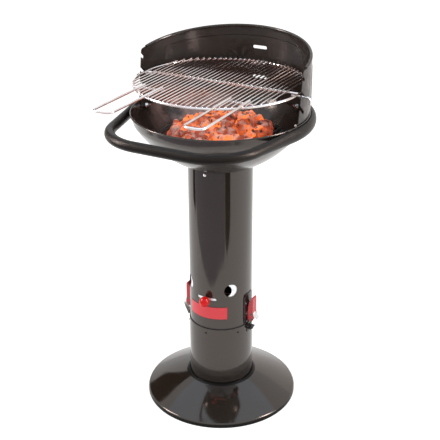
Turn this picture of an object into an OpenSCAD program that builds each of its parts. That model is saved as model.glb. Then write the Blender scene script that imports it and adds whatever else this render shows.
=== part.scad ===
// Charcoal grill on a column, with a windshield, a cooking grid and an ash pot.
// All sizes are in millimetres. The front, with the damper knob, faces -Y.
// An azimuth is an angle round the column's axis, from the front towards +X.

/* [Foot] */
// Radius of the foot at the floor
foot_r = 204; // [190:1:230]
// Thickness of the foot's sheet
foot_sheet = 1.5; // [1.2:0.1:2]
// Height of the folded hem at the floor
hem_h = 7; // [5:0.5:10]
// Thickness of the folded hem
hem_t = 3; // [2.4:0.2:4]
// Height of the collar's top above the floor
collar_h = 62; // [56:1:75]
// Width of the collar's rounded lip
collar_lip = 4.2; // [3.6:0.1:6]
// Height of the seat under the ash pot
seat_z = 42; // [36:1:46]
// Width of the seat under the ash pot
seat_w = 22; // [16:1:30]

/* [Ash pot] */
// Outer radius of the ash pot
pot_r = 85.7; // [85:0.1:95]
// Height of the ash pot
pot_h = 186; // [160:1:220]
// Thickness of the pot's sheet
pot_wall = 1.2; // [1:0.1:1.5]
// Radius between the pot's floor and its wall
pot_corner = 7; // [5:0.5:12]
// Depth of the rivets and the catches below the pot's top
pot_rivet_drop = 13; // [11:0.5:15]
// Thickness of the locating ring in the pot's mouth
pot_ring_t = 1.2; // [1:0.1:1.5]
// Thickness of the seal between the pot and the column
seal_t = 2.5; // [2:0.1:4]

/* [Column] */
// Outer radius of the column
column_r = 83.4; // [80:0.1:84]
// Thickness of the column's sheet
column_wall = 1.2; // [1:0.1:1.6]
// Height of the column tube
column_h = 444.5; // [400:0.5:520]
// Diameter of an air hole
air_d = 36; // [28:1:40]
// Azimuth of the front air holes
air_az = 46.5; // [42:0.5:50]
// Height of the air holes above the tube's lower edge
air_h = 113; // [108:1:125]
// Depth of the bowl's bolts below the column's top
bolt_drop = 8.4; // [6:0.1:14]

/* [Label plate] */
// Half of the angle that the plate spans
label_az = 40; // [30:0.5:44]
// Height of the plate
label_h = 36; // [24:1:40]
// Thickness of the plate
label_t = 0.8; // [0.5:0.1:1.2]
// Height of the plate's lower edge above the tube's lower edge
label_base = 29.5; // [20:0.5:34]

/* [Damper] */
// Height of the damper ring
ring_h = 59; // [52:1:60]
// Thickness of the damper ring
ring_t = 0.8; // [0.6:0.1:1.2]
// Turn of the ring's holes from the column's holes at rest
ring_rest = -10.8; // [-13:0.1:-9]
// Azimuth of the knob at rest
knob_az = 2.6; // [0:0.1:3]
// Diameter of the ball knob
knob_d = 27.5; // [22:0.5:30]
// Distance of the knob's centre from the column
knob_reach = 16.6; // [14:0.2:22]
// Drop of the knob's slot below the air holes
knob_drop = 25.5; // [24:0.5:26]
// Height of the knob's slot
slot_h = 8; // [7:0.5:10]
// Half of the angle that the knob's slot spans
slot_az = 17; // [16.6:0.1:20]
// Diameter of the knob's stem
stem_d = 6; // [5:0.5:6]

/* [Latches] */
// Width of a lever
lever_w = 22; // [18:0.5:26]
// Thickness of the lever's sheet
lever_t = 1.7; // [1.4:0.1:2]
// Width of a hook
hook_w = 18; // [12:0.5:18]
// Thickness of the hook's strip
hook_t = 2; // [1.6:0.1:2.2]
// Thickness of the base, its ears and the catch
bracket_t = 1.5; // [1.2:0.1:1.8]
// Half of the angle that a base spans
base_az = 16.5; // [14:0.5:20]
// Height of a base
base_h = 82; // [78:1:90]
// Diameter of the hinge pins
pin_d = 3.6; // [3:0.1:4]
// Width of the lip that the hook pulls on
catch_w = 26; // [22:1:30]

/* [Bowl] */
// Radius of the bowl at its shoulder
shoulder_r = 216.7; // [205:0.1:240]
// Height of the bowl from the column to its shoulder
bowl_h = 113; // [100:1:130]
// Radius of the bowl's curved side
bowl_curve = 291; // [250:1:340]
// Height of the band from the shoulder to the rim
band_h = 24; // [20:1:34]
// How far the band leans out over its height
band_flare = 5.5; // [4:0.1:7]
// Thickness of the bowl's sheet
bowl_wall = 1.2; // [1:0.1:1.5]
// Diameter of the rolled edge at the rim
rim_d = 3.8; // [3:0.1:4.4]
// Length of the neck that plugs into the column
neck_h = 35; // [28:1:50]

/* [Fire] */
// Height of the charcoal grate above the column's top
grate_rise = 60; // [40:1:64]
// Diameter of the grate's ring
grate_ring_d = 6; // [5:0.5:7]
// Diameter of the grate's bars
grate_bar_d = 5; // [4:0.5:6]
// Spacing of the grate's bars
grate_pitch = 15; // [13:0.5:20]
// Radius of the heap of charcoal
heap_r = 114; // [80:1:120]
// Height of the heap of charcoal
heap_h = 32; // [20:1:36]
// Size of a lump of charcoal
lump = 40; // [30:1:46]

/* [Windshield] */
// How far the windshield steps out above the bowl's rim
shield_step = 2.5; // [2:0.1:3]
// Thickness of the windshield's sheet
shield_wall = 1.6; // [1.2:0.1:1.8]
// Height of the back of the windshield above the bowl's rim
shield_h = 165.5; // [150:0.5:190]
// Slope of the top edge, down to the front
shield_tilt = 8.6; // [6:0.1:11]
// Slope of the front edges, back to the top
shield_lean = 8.7; // [6:0.1:11]
// Distance of the front edges ahead of the axis, at the rim
shield_front = 24.3; // [22:0.1:30]
// Size of the cut at the top corners
shield_corner = 3; // [2:0.5:6]
// Diameter of the rolled bead on the top edge
bead_d = 7.4; // [6:0.1:9]
// How far the bead stands out past the sheet
bead_out = 1; // [0.9:0.1:2]
// Distance of the bead's ends behind the top corners
bead_stop = 20; // [14:1:30]
// Half of the angle that the pressed panel spans
panel_az = 68.3; // [60:0.1:70]
// Height by which the panel stands out
panel_t = 0.85; // [0.6:0.05:1]
// Distance of the panel's border from the top edge
panel_top = 26; // [20:1:30]
// Distance of the panel's border above the rim
panel_base = 13; // [10:1:18]
// Radius of the panel's corners
panel_corner = 18; // [12:1:24]

/* [Grid slots] */
// Height of the lowest grid level above the rim
level_base = 26.4; // [24:0.2:32]
// Distance between the grid levels
level_pitch = 39.8; // [36:0.2:42]
// Level that the cooking grid is hung in
grid_level = 1; // [0:1:2]
// Width of a front notch
notch_w = 8; // [7.4:0.1:9]
// Slope of a front notch, up to its mouth
notch_slope = 42; // [25:1:45]
// Width of a rear slot
rear_slot_w = 40; // [30:1:44]
// Height of a rear slot
rear_slot_h = 8.5; // [8:0.1:10]

/* [Cooking grid] */
// Gap between the grid's ring and the windshield
grid_gap = 6.6; // [4:0.1:10]
// Diameter of the thick wires
wire_d = 6; // [5:0.2:6.4]
// Diameter of the bars
bar_d = 4; // [3:0.2:4.4]
// Spacing of the bars
bar_pitch = 12.3; // [11:0.1:16]
// Distance that the outer bars keep from the ring
bar_margin = 20; // [8:1:24]
// Diameter of the rear tab's wire
tab_d = 5; // [4:0.2:5]
// How far the rear tab reaches into its slot
tab_catch = 3; // [2:0.2:3.4]
// Diameter of the ears' wire
ear_d = 5; // [4:0.2:6]
// Distance of an ear's outer leg from the windshield
ear_out = 16.4; // [12:0.2:20]
// Radius of an ear's bend
ear_turn = 8; // [5:0.5:10]
// Length of an ear's outer leg
ear_drop = 17; // [14:1:22]
// Gap between the bars that a handle's inner arm lies in, counted from the middle
grip_in_gap = 7; // [5:1:8]
// Gap between the bars that a handle's outer arm lies in
grip_out_gap = 11; // [10:1:12]
// Length of a handle ahead of the ring
grip_len = 128; // [110:1:150]
// Length of a handle's arms over the grid
grip_hold = 95; // [80:1:105]

/* [Handle] */
// Diameter of the handle's tube
tube_d = 26; // [22:0.5:28]
// Thickness of the tube's wall
tube_wall = 1.5; // [1.2:0.1:2]
// Width of the tube where it is pressed flat against the bowl
tube_flat = 19; // [18:0.5:24]
// Height of the tube where it is pressed flat
tube_tall = 31; // [26:0.5:32]
// How far the front bar stands ahead of the tube beside the bowl
handle_front_gap = 56.5; // [45:0.5:70]
// Half of the front bar's straight length
handle_half = 72; // [60:1:90]
// Radius of the handle's front corners
handle_corner = 122.7; // [105:0.1:130]
// Height of the handle above the bowl's shoulder
handle_rise = 7; // [5:0.5:10]
// Azimuth of the handle's ends
handle_end = 150; // [147:1:160]
// Azimuth of the front fixing bolts
front_bolt_az = 88.5; // [87.5:0.1:90]
// Azimuth of the rear fixing bolts
rear_bolt_az = 140; // [130:1:142]
// Diameter of the fixing bolts
side_bolt_d = 6; // [5:0.5:6.5]

/* [Clearances] */
// Gap beside a piece that moves
gap = 0.3; // [0.25:0.05:0.4]
// Gap round a pin that something turns on
pin_gap = 0.07; // [0.05:0.01:0.1]
// Gap round a rivet or a bolt in its hole
bolt_gap = 0.1; // [0.05:0.05:0.2]
// Gap under a plate that lies on the column or the pot
plate_gap = 0.1; // [0.05:0.05:0.2]

/* [Hidden] */
$fn = 64;

// Heights, from the floor up
pot_top = seat_z + pot_h;
column_z = pot_top + seal_t;
column_top = column_z + column_h;
shoulder_z = column_top + bowl_h;
rim_z = shoulder_z + band_h;
shield_low = shoulder_z + 4;
shield_back_z = rim_z + shield_h - bead_d / 2;
air_z = column_z + air_h;
knob_z = air_z - knob_drop;
grate_z = column_top + grate_rise;
handle_z = shoulder_z + handle_rise;
bowl_bolt_z = column_top - bolt_drop;
rivet_z = pot_top - pot_rivet_drop;

// Radii that follow from the sheets and the clearances
collar_in = pot_r + gap;
bore_r = column_r - column_wall;
neck_r = bore_r - bolt_gap;
ring_r = bore_r - gap;
seat_bolt_d = 5;
seat_bolt_head = 8 / cos(30);
seat_bolt_r = min(collar_in - seat_w / 2 - 1, pot_r - pot_corner - seat_bolt_head / 2);

// The band's side view: its direction, and its outer radius at a height
band_len = norm([band_flare, band_h]);
band_out = [band_h, -band_flare] / band_len;
function band_r(z) = shoulder_r + (z - shoulder_z) * band_flare / band_h;

// The handle's flattened tube lies against the band, with a gap
tube_reach = norm([tube_flat / 2 * band_out[0], tube_tall / 2 * band_out[1]]);
handle_r = shoulder_r + (tube_reach + gap + handle_rise * band_flare / band_len) / band_out[0];
handle_front = handle_r + handle_front_gap;

// The shield's lower edge nests in the band, and steps out above the rim
shield_nest = (bowl_wall + gap) / band_out[0];
function nest_r(z) = band_r(z) - shield_nest;
shield_r = nest_r(rim_z) + shield_step;
shield_in = shield_r - shield_wall;
bead_r = shield_r + bead_out - bead_d / 2;

// The grid's levels and wires
function level_z(i) = rim_z + level_base + i * level_pitch;
ear_z = level_z(grid_level) - (notch_w - ear_d) / 2 + gap;
ring_z = ear_z + (ear_d + wire_d) / 2;
bar_z = ring_z + (wire_d + bar_d) / 2;
tab_z = ring_z - (wire_d + tab_d) / 2;
grip_z = ring_z + wire_d;
grid_r = shield_in - grid_gap;
wire_r = grid_r - wire_d / 2;
ear_reach = shield_r + ear_out;
bar_count = floor((wire_r - bar_margin) / bar_pitch);

// The arms of the grid's handles lie midway between two bars
grip_in = (grip_in_gap + 0.5) * bar_pitch;
grip_out = (grip_out_gap + 0.5) * bar_pitch;
grip_reach = grid_r + grip_len;
grip_start = grid_r - grip_hold;

// The origin lies under the middle of the whole grill, which reaches furthest
// forward with the grid's handles and furthest back with the shield's bead
axis_y = (grip_reach + wire_d / 2 - bead_r - bead_d / 2) / 2;

// The latch in its side view: x is the distance from the column's axis, y the height
lever_pin = [column_r + 13.9, column_z + 13];
hook_pin = lever_pin + [0.4, 15];
lever_back = column_r + 2.6;
lever_face = hook_pin[0] + 3.6;
lever_top = lever_pin[1] + 64.5;
base_z = column_z + 5.5;
lip_z = rivet_z - 2;
lip_reach = lever_pin[0] + 0.7;
ear_out_y = lever_w / 2 - lever_t - gap;

// A point at a distance and an angle
function polar(r, a) = [r * cos(a), r * sin(a)];

// Points along an arc
function arc(c, r, a0, a1, n) = [for (i = [0:n]) c + polar(r, a0 + (a1 - a0) * i / n)];

// Centre of the arc from p to q, on the left of the way from p to q
function arc_centre(p, q, r) = let (d = q - p, h = sqrt(r * r - (d * d) / 4))
    (p + q) / 2 + h * [-d[1], d[0]] / norm(d);

// Direction across a corner of an outline, long enough to keep a wall's thickness
function side(a, b) = [b[1] - a[1], a[0] - b[0]] / norm(b - a);
function corner(p, i) = let (
    last = len(p) - 1,
    before = side(p[max(i - 1, 0)], p[max(i, 1)]),
    after = side(p[min(i, last - 1)], p[min(i + 1, last)]),
    mean = (before + after) / norm(before + after)) mean / (mean * before);

// Outline of a sheet of thickness t, on the left of the way along p
function sheet(p, t) = concat(p, [for (i = [len(p) - 1:-1:0]) p[i] - t * corner(p, i)]);

// Outline of a strip of thickness t, centred on the way along p
function strip(p, t) = sheet([for (i = [0:len(p) - 1]) p[i] + t / 2 * corner(p, i)], t);

// Puts a piece on the column's axis
module place() {
    translate([0, axis_y, 0]) children();
}

// Puts a piece that points along +X at an azimuth
module at_az(a) {
    rotate([0, 0, a - 90]) children();
}

// A round rod between two points
module rod(p, q, d) {
    v = q - p;
    translate(p)
        rotate([0, acos(v[2] / norm(v)), atan2(v[1], v[0])])
            cylinder(d = d, h = norm(v));
}

// A bend of round rod in the level plane
module bend(c, r, d, a0, a1) {
    translate(c) rotate([0, 0, a0]) rotate_extrude(angle = a1 - a0) translate([r, 0]) circle(d = d);
}

// A pin, hole or bolt along +X at a height
module radial(d, r0, r1, z) {
    translate([r0, 0, z]) rotate([0, 90, 0]) cylinder(d = d, h = r1 - r0);
}

// A tube's sector about the column's axis, centred on +X
module sector(r0, r1, half, z0, z1) {
    rotate([0, 0, -half])
        rotate_extrude(angle = 2 * half)
            translate([r0, z0]) square([r1 - r0, z1 - z0]);
}

// A shape in the side view of the latch, given a width across it
module side_plate(w) {
    translate([0, w / 2, 0]) rotate([90, 0, 0]) linear_extrude(w) children();
}

// A flat slot with round ends, centred on the origin
module slot(w, h) {
    square([w - h, h], center = true);
    for (s = [-1, 1])
        translate([s * (w - h) / 2, 0]) circle(d = h);
}

// How far out the flat end of a round pin can lie inside a tube
function flat_in(r, d) = sqrt(r * r - d * d / 4);

// A low round head that points outwards
module dome(d, h, r, z) {
    curve = (d * d / 4 + h * h) / (2 * h);
    translate([r, 0, z])
        rotate([0, 90, 0])
            intersection() {
                translate([0, 0, h - curve]) sphere(r = curve);
                cylinder(d = d, h = h);
            }
}

module foot() {
    lip = collar_lip / 2;
    out = collar_in + collar_lip;
    skin = concat(
        [[foot_r, 0], [foot_r, hem_h], [foot_r - 2, hem_h + 2],
            [out + 3.2, collar_h - 12], [out + 0.8, collar_h - 9], [out, collar_h - 6]],
        arc([collar_in + lip, collar_h - lip], lip, 0, 180, 10),
        [[collar_in, seat_z], [collar_in - seat_w, seat_z]]);
    color([0.2, 0.18, 0.17])
        difference() {
            rotate_extrude() {
                polygon(sheet(skin, foot_sheet));
                translate([foot_r - hem_t, 0]) square([hem_t, hem_h]);
            }
            for (a = [0, 120, 240])
                rotate([0, 0, a]) translate([seat_bolt_r, 0, seat_z - 10])
                    cylinder(d = seat_bolt_d + 2 * bolt_gap, h = 20);
        }
}

// Hexagon bolts that hold the pot down on the foot's seat
module foot_bolts() {
    color([0.7, 0.7, 0.7])
        for (a = [0, 120, 240])
            rotate([0, 0, a]) translate([seat_bolt_r, 0, 0]) {
                translate([0, 0, seat_z - foot_sheet - 8])
                    cylinder(d = seat_bolt_d, h = foot_sheet + pot_wall + 8);
                translate([0, 0, seat_z + pot_wall]) cylinder(d = seat_bolt_head, h = 3.5, $fn = 6);
            }
}

module foot_nuts() {
    color([0.7, 0.7, 0.7])
        for (a = [0, 120, 240])
            rotate([0, 0, a]) translate([seat_bolt_r, 0, seat_z - foot_sheet - 4])
                difference() {
                    cylinder(d = seat_bolt_head, h = 4, $fn = 6);
                    translate([0, 0, -1]) cylinder(d = seat_bolt_d + 2 * bolt_gap, h = 6);
                }
}

// Deep-drawn pot that catches the ash
module ash_pot() {
    skin = concat([[0, seat_z]],
        arc([pot_r - pot_corner, seat_z + pot_corner], pot_corner, -90, 0, 8),
        [[pot_r, pot_top]]);
    color([0.2, 0.18, 0.17])
        difference() {
            rotate_extrude() polygon(sheet(skin, pot_wall));
            for (a = [0, 120, 240])
                rotate([0, 0, a]) translate([seat_bolt_r, 0, seat_z - 5])
                    cylinder(d = seat_bolt_d + 2 * bolt_gap, h = 12);
            pot_holes();
        }
}

// Holes in the pot and its ring for the rivets of the ring and of the catches
module pot_holes() {
    for (a = [0:60:300])
        at_az(a) radial(4 + 2 * bolt_gap, pot_r - 8, pot_r + 8, rivet_z);
    for (s = [0, 1])
        mirror([s, 0, 0]) catch_holes();
}

// Rivets that hold the locating ring in the pot
module pot_rivets() {
    tail = flat_in(pot_r - pot_wall - pot_ring_t, 6) - bolt_gap / 2;
    color([0.25, 0.24, 0.24])
        for (a = [0:60:300])
            at_az(a) {
                radial(4, tail - 0.6, pot_r + 0.2, rivet_z);
                dome(6, 1.4, pot_r, rivet_z);
                radial(6, tail - 1.6, tail, rivet_z);
            }
}

// Ring in the pot's mouth that the column slips over
module pot_ring() {
    pot_in = pot_r - pot_wall;
    skin = [[pot_in, pot_top - 22], [pot_in, pot_top - 6], [bore_r - gap, pot_top - 1],
        [bore_r - gap, column_z + 16], [bore_r - gap - 1.5, column_z + 19]];
    color([0.75, 0.76, 0.78])
        difference() {
            rotate_extrude() polygon(sheet(skin, pot_ring_t));
            pot_holes();
        }
}

// Soft ring that closes the seam between the pot and the column
module pot_seal() {
    color([0.08, 0.08, 0.08])
        translate([0, 0, pot_top])
            difference() {
                cylinder(r = column_r + 0.8, h = seal_t);
                translate([0, 0, -1]) cylinder(r = bore_r, h = seal_t + 2);
            }
}

module column() {
    color([0.2, 0.18, 0.17])
        difference() {
            translate([0, 0, column_z]) cylinder(r = column_r, h = column_h);
            translate([0, 0, column_z - 1]) cylinder(r = bore_r, h = column_h + 2);
            for (a = [air_az, 180 - air_az, 180 + air_az, -air_az])
                at_az(a) radial(air_d, bore_r - 30, column_r + 10, air_z);
            for (a = [0, 120, 240])
                at_az(a) radial(5 + 2 * bolt_gap, bore_r - 10, column_r + 10, bowl_bolt_z);
            translate([0, -bore_r / 2, knob_z]) rotate([90, 0, 0]) linear_extrude(column_r)
                slot(2 * column_r * sin(slot_az) + slot_h, slot_h);
            for (s = [0, 1])
                mirror([s, 0, 0]) base_holes();
        }
}

// Dome-headed bolts that hold the bowl's neck in the column
module column_bolts() {
    color([0.85, 0.85, 0.85])
        for (a = [0, 120, 240])
            at_az(a) {
                radial(5, neck_r - 8, column_r + 0.2, bowl_bolt_z);
                dome(8.6, 2.8, column_r, bowl_bolt_z);
            }
}

module column_nuts() {
    color([0.75, 0.75, 0.75])
        for (a = [0, 120, 240])
            at_az(a)
                difference() {
                    translate([neck_r - bowl_wall - 4.6, 0, bowl_bolt_z]) rotate([0, 90, 0])
                        cylinder(d = 8 / cos(30), h = 4, $fn = 6);
                    radial(5 + 2 * bolt_gap, neck_r - 12, neck_r, bowl_bolt_z);
                }
}

// Bare plate bent round the column, under the knob
module label_plate() {
    low = column_z + label_base;
    color([0.92, 0.25, 0.3])
        at_az(0) sector(column_r + plate_gap, column_r + label_t, label_az, low, low + label_h);
}

// Open band of spring sheet that hugs the inside of the column
module damper_ring() {
    ring_low = air_z - ring_h / 2 - 5;
    color([0.72, 0.74, 0.76])
        difference() {
            at_az(0) sector(ring_r - ring_t, ring_r, 176, ring_low, ring_low + ring_h);
            for (a = [air_az, 180 - air_az, 180 + air_az, -air_az])
                at_az(a + ring_rest) radial(air_d, ring_r - 30, ring_r + 10, air_z);
            at_az(knob_az) radial(stem_d + 2 * bolt_gap, ring_r - 10, ring_r + 10, knob_z);
        }
}

module damper_stem() {
    color([0.7, 0.7, 0.7])
        at_az(knob_az) {
            radial(stem_d, ring_r - ring_t - 2, column_r + knob_reach, knob_z);
            radial(stem_d + 5, ring_r - ring_t - 3, ring_r - ring_t - 0.6, knob_z);
        }
}

module damper_knob() {
    color([0.85, 0.1, 0.12])
        at_az(knob_az) translate([column_r + knob_reach, 0, knob_z]) rotate([0, 90, 0])
            rotate_extrude()
                difference() {
                    intersection() {
                        circle(d = knob_d);
                        translate([0, 1.6 - knob_d / 2]) square([knob_d, knob_d]);
                    }
                    translate([0, -knob_d]) square([stem_d / 2 + bolt_gap, knob_d]);
                }
}

// Angles and heights of a base's rivets
function base_rivets() = [for (s = [-9.3, 9.3], z = [base_z + 24, base_z + 54]) [90 + s, z]];
function catch_rivets() = [for (s = [-6.5, 6.5]) [90 + s, lip_z + 5.2]];

module catch_holes() {
    for (p = catch_rivets())
        at_az(p[0]) radial(3 + 2 * bolt_gap, pot_r - 8, pot_r + 8, p[1]);
}

module base_holes() {
    for (p = base_rivets())
        at_az(p[0]) radial(4 + 2 * bolt_gap, column_r - 8, column_r + 8, p[1]);
}

// Plate on the column with two ears for the lever's pin, which lie between the lever's cheeks
module latch_base() {
    ear_top = lever_pin[1] + 5;
    color([0.16, 0.15, 0.15])
        difference() {
            union() {
                at_az(90) sector(column_r + plate_gap, column_r + bracket_t, base_az, base_z, base_z + base_h);
                for (s = [0, 1])
                    mirror([0, s, 0]) translate([0, ear_out_y - bracket_t / 2, 0]) side_plate(bracket_t) {
                        translate([column_r + plate_gap, base_z])
                            square([lever_pin[0] - column_r - plate_gap, ear_top - base_z]);
                        translate(lever_pin) circle(r = 5);
                    }
            }
            for (s = [-1, 1])
                at_az(90 + s * base_az) translate([0, 0, base_z + base_h]) rotate([45, 0, 0])
                    translate([column_r - 5, -6, -6]) cube([12, 12, 12]);
            base_holes();
            translate([lever_pin[0], -lever_w, lever_pin[1]]) rotate([-90, 0, 0])
                cylinder(d = pin_d + 2 * bolt_gap, h = 2 * lever_w);
        }
}

// Rivets of the bases on the column and of the catches on the pot
module latch_rivets() {
    column_tail = flat_in(bore_r, 5.6) - bolt_gap / 2;
    pot_tail = flat_in(pot_r - pot_wall - pot_ring_t, 4.6) - bolt_gap / 2;
    color([0.6, 0.6, 0.6])
        for (s = [0, 1])
            mirror([s, 0, 0]) {
                for (p = base_rivets())
                    at_az(p[0]) {
                        radial(4, column_tail - 0.6, column_r + bracket_t + 0.2, p[1]);
                        dome(6.4, 1.6, column_r + bracket_t, p[1]);
                        radial(5.6, column_tail - 1, column_tail, p[1]);
                    }
                for (p = catch_rivets())
                    at_az(p[0]) {
                        radial(3, pot_tail - 0.6, pot_r + bracket_t + 0.2, p[1]);
                        dome(4.6, 1.2, pot_r + bracket_t, p[1]);
                        radial(4.6, pot_tail - 1, pot_tail, p[1]);
                    }
            }
}

// Hinge pin with a flat head at each end
module hinge_pin(p, half) {
    color([0.75, 0.75, 0.75])
        translate([p[0], 0, p[1]]) rotate([90, 0, 0]) {
            cylinder(d = pin_d, h = 2 * half, center = true);
            for (s = [-1, 1])
                translate([0, 0, s * (half + 0.4)]) cylinder(d = pin_d + 2.2, h = 0.8, center = true);
        }
}

// Pressed channel: two cheeks, a face and a rounded tip
module latch_lever() {
    foot_z = lever_pin[1] - 5.6;
    skin = [[lever_back, foot_z + 25], [lever_back + 1.8, foot_z + 44], [lever_back + 6.3, foot_z + 60],
        [lever_back + 10, lever_top - 3.6], [lever_face - 4, lever_top - 0.4], [lever_face - 2, lever_top - 0.6],
        [lever_face - 0.5, lever_top - 2.6], [lever_face, lever_top - 6], [lever_face + 0.2, hook_pin[1] + 4.5],
        [lever_face + 1.2, hook_pin[1] - 3], [lever_face + 1.4, foot_z + 8], [lever_face + 0.6, foot_z + 4],
        [lever_face - 1.6, foot_z + 1], [lever_pin[0], foot_z], [lever_back + 4.4, foot_z],
        [lever_back + 0.8, foot_z + 4]];
    inner = lever_w - 2 * lever_t;
    web = 2.2;
    color([0.88, 0.12, 0.16])
        difference() {
            side_plate(lever_w) polygon(skin);
            side_plate(inner) {
                translate([lever_back - 5, foot_z - 5]) square([40, hook_pin[1] + 5 - foot_z + 4.5]);
                polygon([[lever_back - 5, hook_pin[1]], [lever_face - web, hook_pin[1]],
                    [lever_face - web, lever_top - 7], [lever_face - web - 3, lever_top - 4],
                    [lever_back + 10, lever_top - 6.4], [lever_back - 5, lever_top - 25]]);
            }
            translate([lever_pin[0], -lever_w, lever_pin[1]]) rotate([-90, 0, 0])
                cylinder(d = pin_d + 2 * pin_gap, h = 2 * lever_w);
            translate([hook_pin[0], -lever_w, hook_pin[1]]) rotate([-90, 0, 0])
                cylinder(d = pin_d + 2 * bolt_gap, h = 2 * lever_w);
        }
}

// Bent strip with a rolled eye; its lower end pulls up on the catch
module latch_hook() {
    tip_z = lip_z - gap - hook_t / 2;
    path = [hook_pin, hook_pin + [6.8, -5.7], hook_pin + [11.8, -10.4], hook_pin + [13.8, -15],
        hook_pin + [13.8, -20], [lip_reach + 10.4, tip_z + 18], [lip_reach + 5.6, tip_z + 8],
        [lip_reach + 3.6, tip_z + 3.2], [lip_reach + 0.4, tip_z], [pot_r + 5.2, tip_z]];
    color([0.78, 0.78, 0.78])
        difference() {
            side_plate(hook_w) {
                polygon(strip(path, hook_t));
                translate(hook_pin) circle(d = pin_d + 2 * hook_t - 0.4);
            }
            translate([hook_pin[0], -hook_w, hook_pin[1]]) rotate([-90, 0, 0])
                cylinder(d = pin_d + 2 * pin_gap, h = 2 * hook_w);
        }
}

// Lip on the pot for the hook
module latch_catch() {
    half = asin(catch_w / 2 / pot_r);
    color([0.16, 0.15, 0.15])
        difference() {
            union() {
                at_az(90) sector(pot_r + plate_gap, pot_r + bracket_t, half, lip_z - 9, lip_z + 9);
                translate([pot_r + plate_gap, -catch_w / 2, lip_z])
                    cube([lip_reach - 2 - pot_r - plate_gap, catch_w, 2]);
                translate([lip_reach - 2, -catch_w / 2 + 2, lip_z]) cube([2, catch_w - 4, 2]);
                for (s = [-1, 1])
                    translate([lip_reach - 2, s * (catch_w / 2 - 2), lip_z]) cylinder(r = 2, h = 2);
            }
            catch_holes();
        }
}

// Pressed bowl: neck, curved side, band and rolled rim in one sheet
bowl_foot = [neck_r + 2.8, column_top + 0.8];
bowl_edge = [shoulder_r, shoulder_z];
bowl_centre = arc_centre(bowl_foot, bowl_edge, bowl_curve);

module bowl() {
    from = atan2(bowl_foot[1] - bowl_centre[1], bowl_foot[0] - bowl_centre[0]);
    to = atan2(bowl_edge[1] - bowl_centre[1], bowl_edge[0] - bowl_centre[0]);
    rim_mid = rim_z - rim_d / 2;
    skin = concat([[neck_r, column_top - neck_h], [neck_r, column_top]],
        arc(bowl_centre, bowl_curve, from, to, 24),
        [[band_r(rim_mid), rim_mid]]);
    color([0.2, 0.18, 0.17])
        difference() {
            rotate_extrude() {
                polygon(sheet(skin, bowl_wall));
                translate([band_r(rim_mid) + rim_d / 2 - bowl_wall, rim_mid]) circle(d = rim_d);
            }
            for (a = [0, 120, 240])
                at_az(a) radial(5 + 2 * bolt_gap, neck_r - 10, neck_r + 10, bowl_bolt_z);
            side_holes(band_r(handle_z) - 8, band_r(handle_z) + 4);
        }
}

// Holes for the bolts that hold the handle and the windshield
module side_holes(r0, r1) {
    for (a = [front_bolt_az, rear_bolt_az, -rear_bolt_az, -front_bolt_az])
        at_az(a) radial(side_bolt_d + 2 * bolt_gap, r0, r1, handle_z);
}

// Half length of a rod beside the middle that ends at the inside of a ring of the same wire
function butt_reach(r, beside, d) = sqrt(pow(r - d / 2, 2) - pow(beside + d / 2, 2));

// Welded grate for the charcoal, resting on the bowl's side
grate_r = bowl_centre[0] + sqrt(pow(bowl_curve - bowl_wall - gap - grate_ring_d / 2, 2)
    - pow(bowl_centre[1] - grate_z, 2));
grate_bar_z = grate_z + (grate_ring_d + grate_bar_d) / 2;

module grate_ring() {
    color([0.3, 0.29, 0.28])
        translate([0, 0, grate_z]) bend([0, 0, 0], grate_r, grate_ring_d, 0, 360);
}

module grate_bars() {
    count = floor((grate_r - grate_bar_d) / grate_pitch);
    color([0.3, 0.29, 0.28]) {
        for (i = [-count:count]) {
            x = i * grate_pitch;
            half = sqrt(grate_r * grate_r - x * x) + grate_ring_d / 4;
            rod([x, -half, grate_bar_z], [x, half, grate_bar_z], grate_bar_d);
        }
        for (s = [-1, 1]) {
            y = s * grate_r / 3;
            half = butt_reach(grate_r, abs(y), grate_ring_d);
            rod([-half, y, grate_z], [half, y, grate_z], grate_ring_d);
        }
    }
}

// Heap of charcoal: a low mound with split lumps on it
module charcoal() {
    heap_z = grate_bar_z + grate_bar_d / 2 + gap;
    count = 36;
    edge = heap_r / 9;
    mound = concat([[0, heap_z], [heap_r, heap_z]], arc([heap_r - edge, heap_z + edge * 0.7], edge, 0, 80, 4),
        [[heap_r * 0.6, heap_z + heap_h * 0.85], [0, heap_z + heap_h]]);
    color([0.25, 0.2, 0.18]) {
        rotate_extrude() polygon(mound);
        for (i = [0:count - 1]) {
            out = sqrt((i + 0.5) / count);
            rise = heap_h * (1 - out * out * 0.8) + lump * 0.1;
            rotate([0, 0, i * 137.5])
                translate([out * (heap_r - lump * 0.05), 0, heap_z + max(rise, lump * 0.62)])
                    charcoal_lump(i);
        }
    }
}

module charcoal_lump(i) {
    rotate([i * 47, i * 71, i * 29])
        intersection() {
            cube([lump, lump * 0.8, lump * 0.7], center = true);
            rotate([35, 20, 45]) cube([lump * 1.02, lump * 0.9, lump * 0.86], center = true);
        }
}

// Height of the shield's top edge at a distance behind the axis
function shield_top(y) = shield_back_z - (shield_r - y) * tan(shield_tilt);

// The point where a front edge would meet the top edge
corner_z = (shield_back_z - tan(shield_tilt) * (shield_r + shield_front + rim_z * tan(shield_lean)))
    / (1 - tan(shield_tilt) * tan(shield_lean));
corner_y = -shield_front + (corner_z - rim_z) * tan(shield_lean);

// The windshield's sheet before its edges are cut
module shield_skin() {
    half = 90 + 1.2 * shield_front / shield_r * 180 / PI;
    at_az(180) rotate([0, 0, -half])
        rotate_extrude(angle = 2 * half)
            polygon(sheet([[nest_r(shield_low), shield_low], [nest_r(rim_z), rim_z + gap],
                [shield_r, rim_z + gap + shield_step], [shield_r, rim_z + shield_h + 30]], shield_wall));
}

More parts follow.
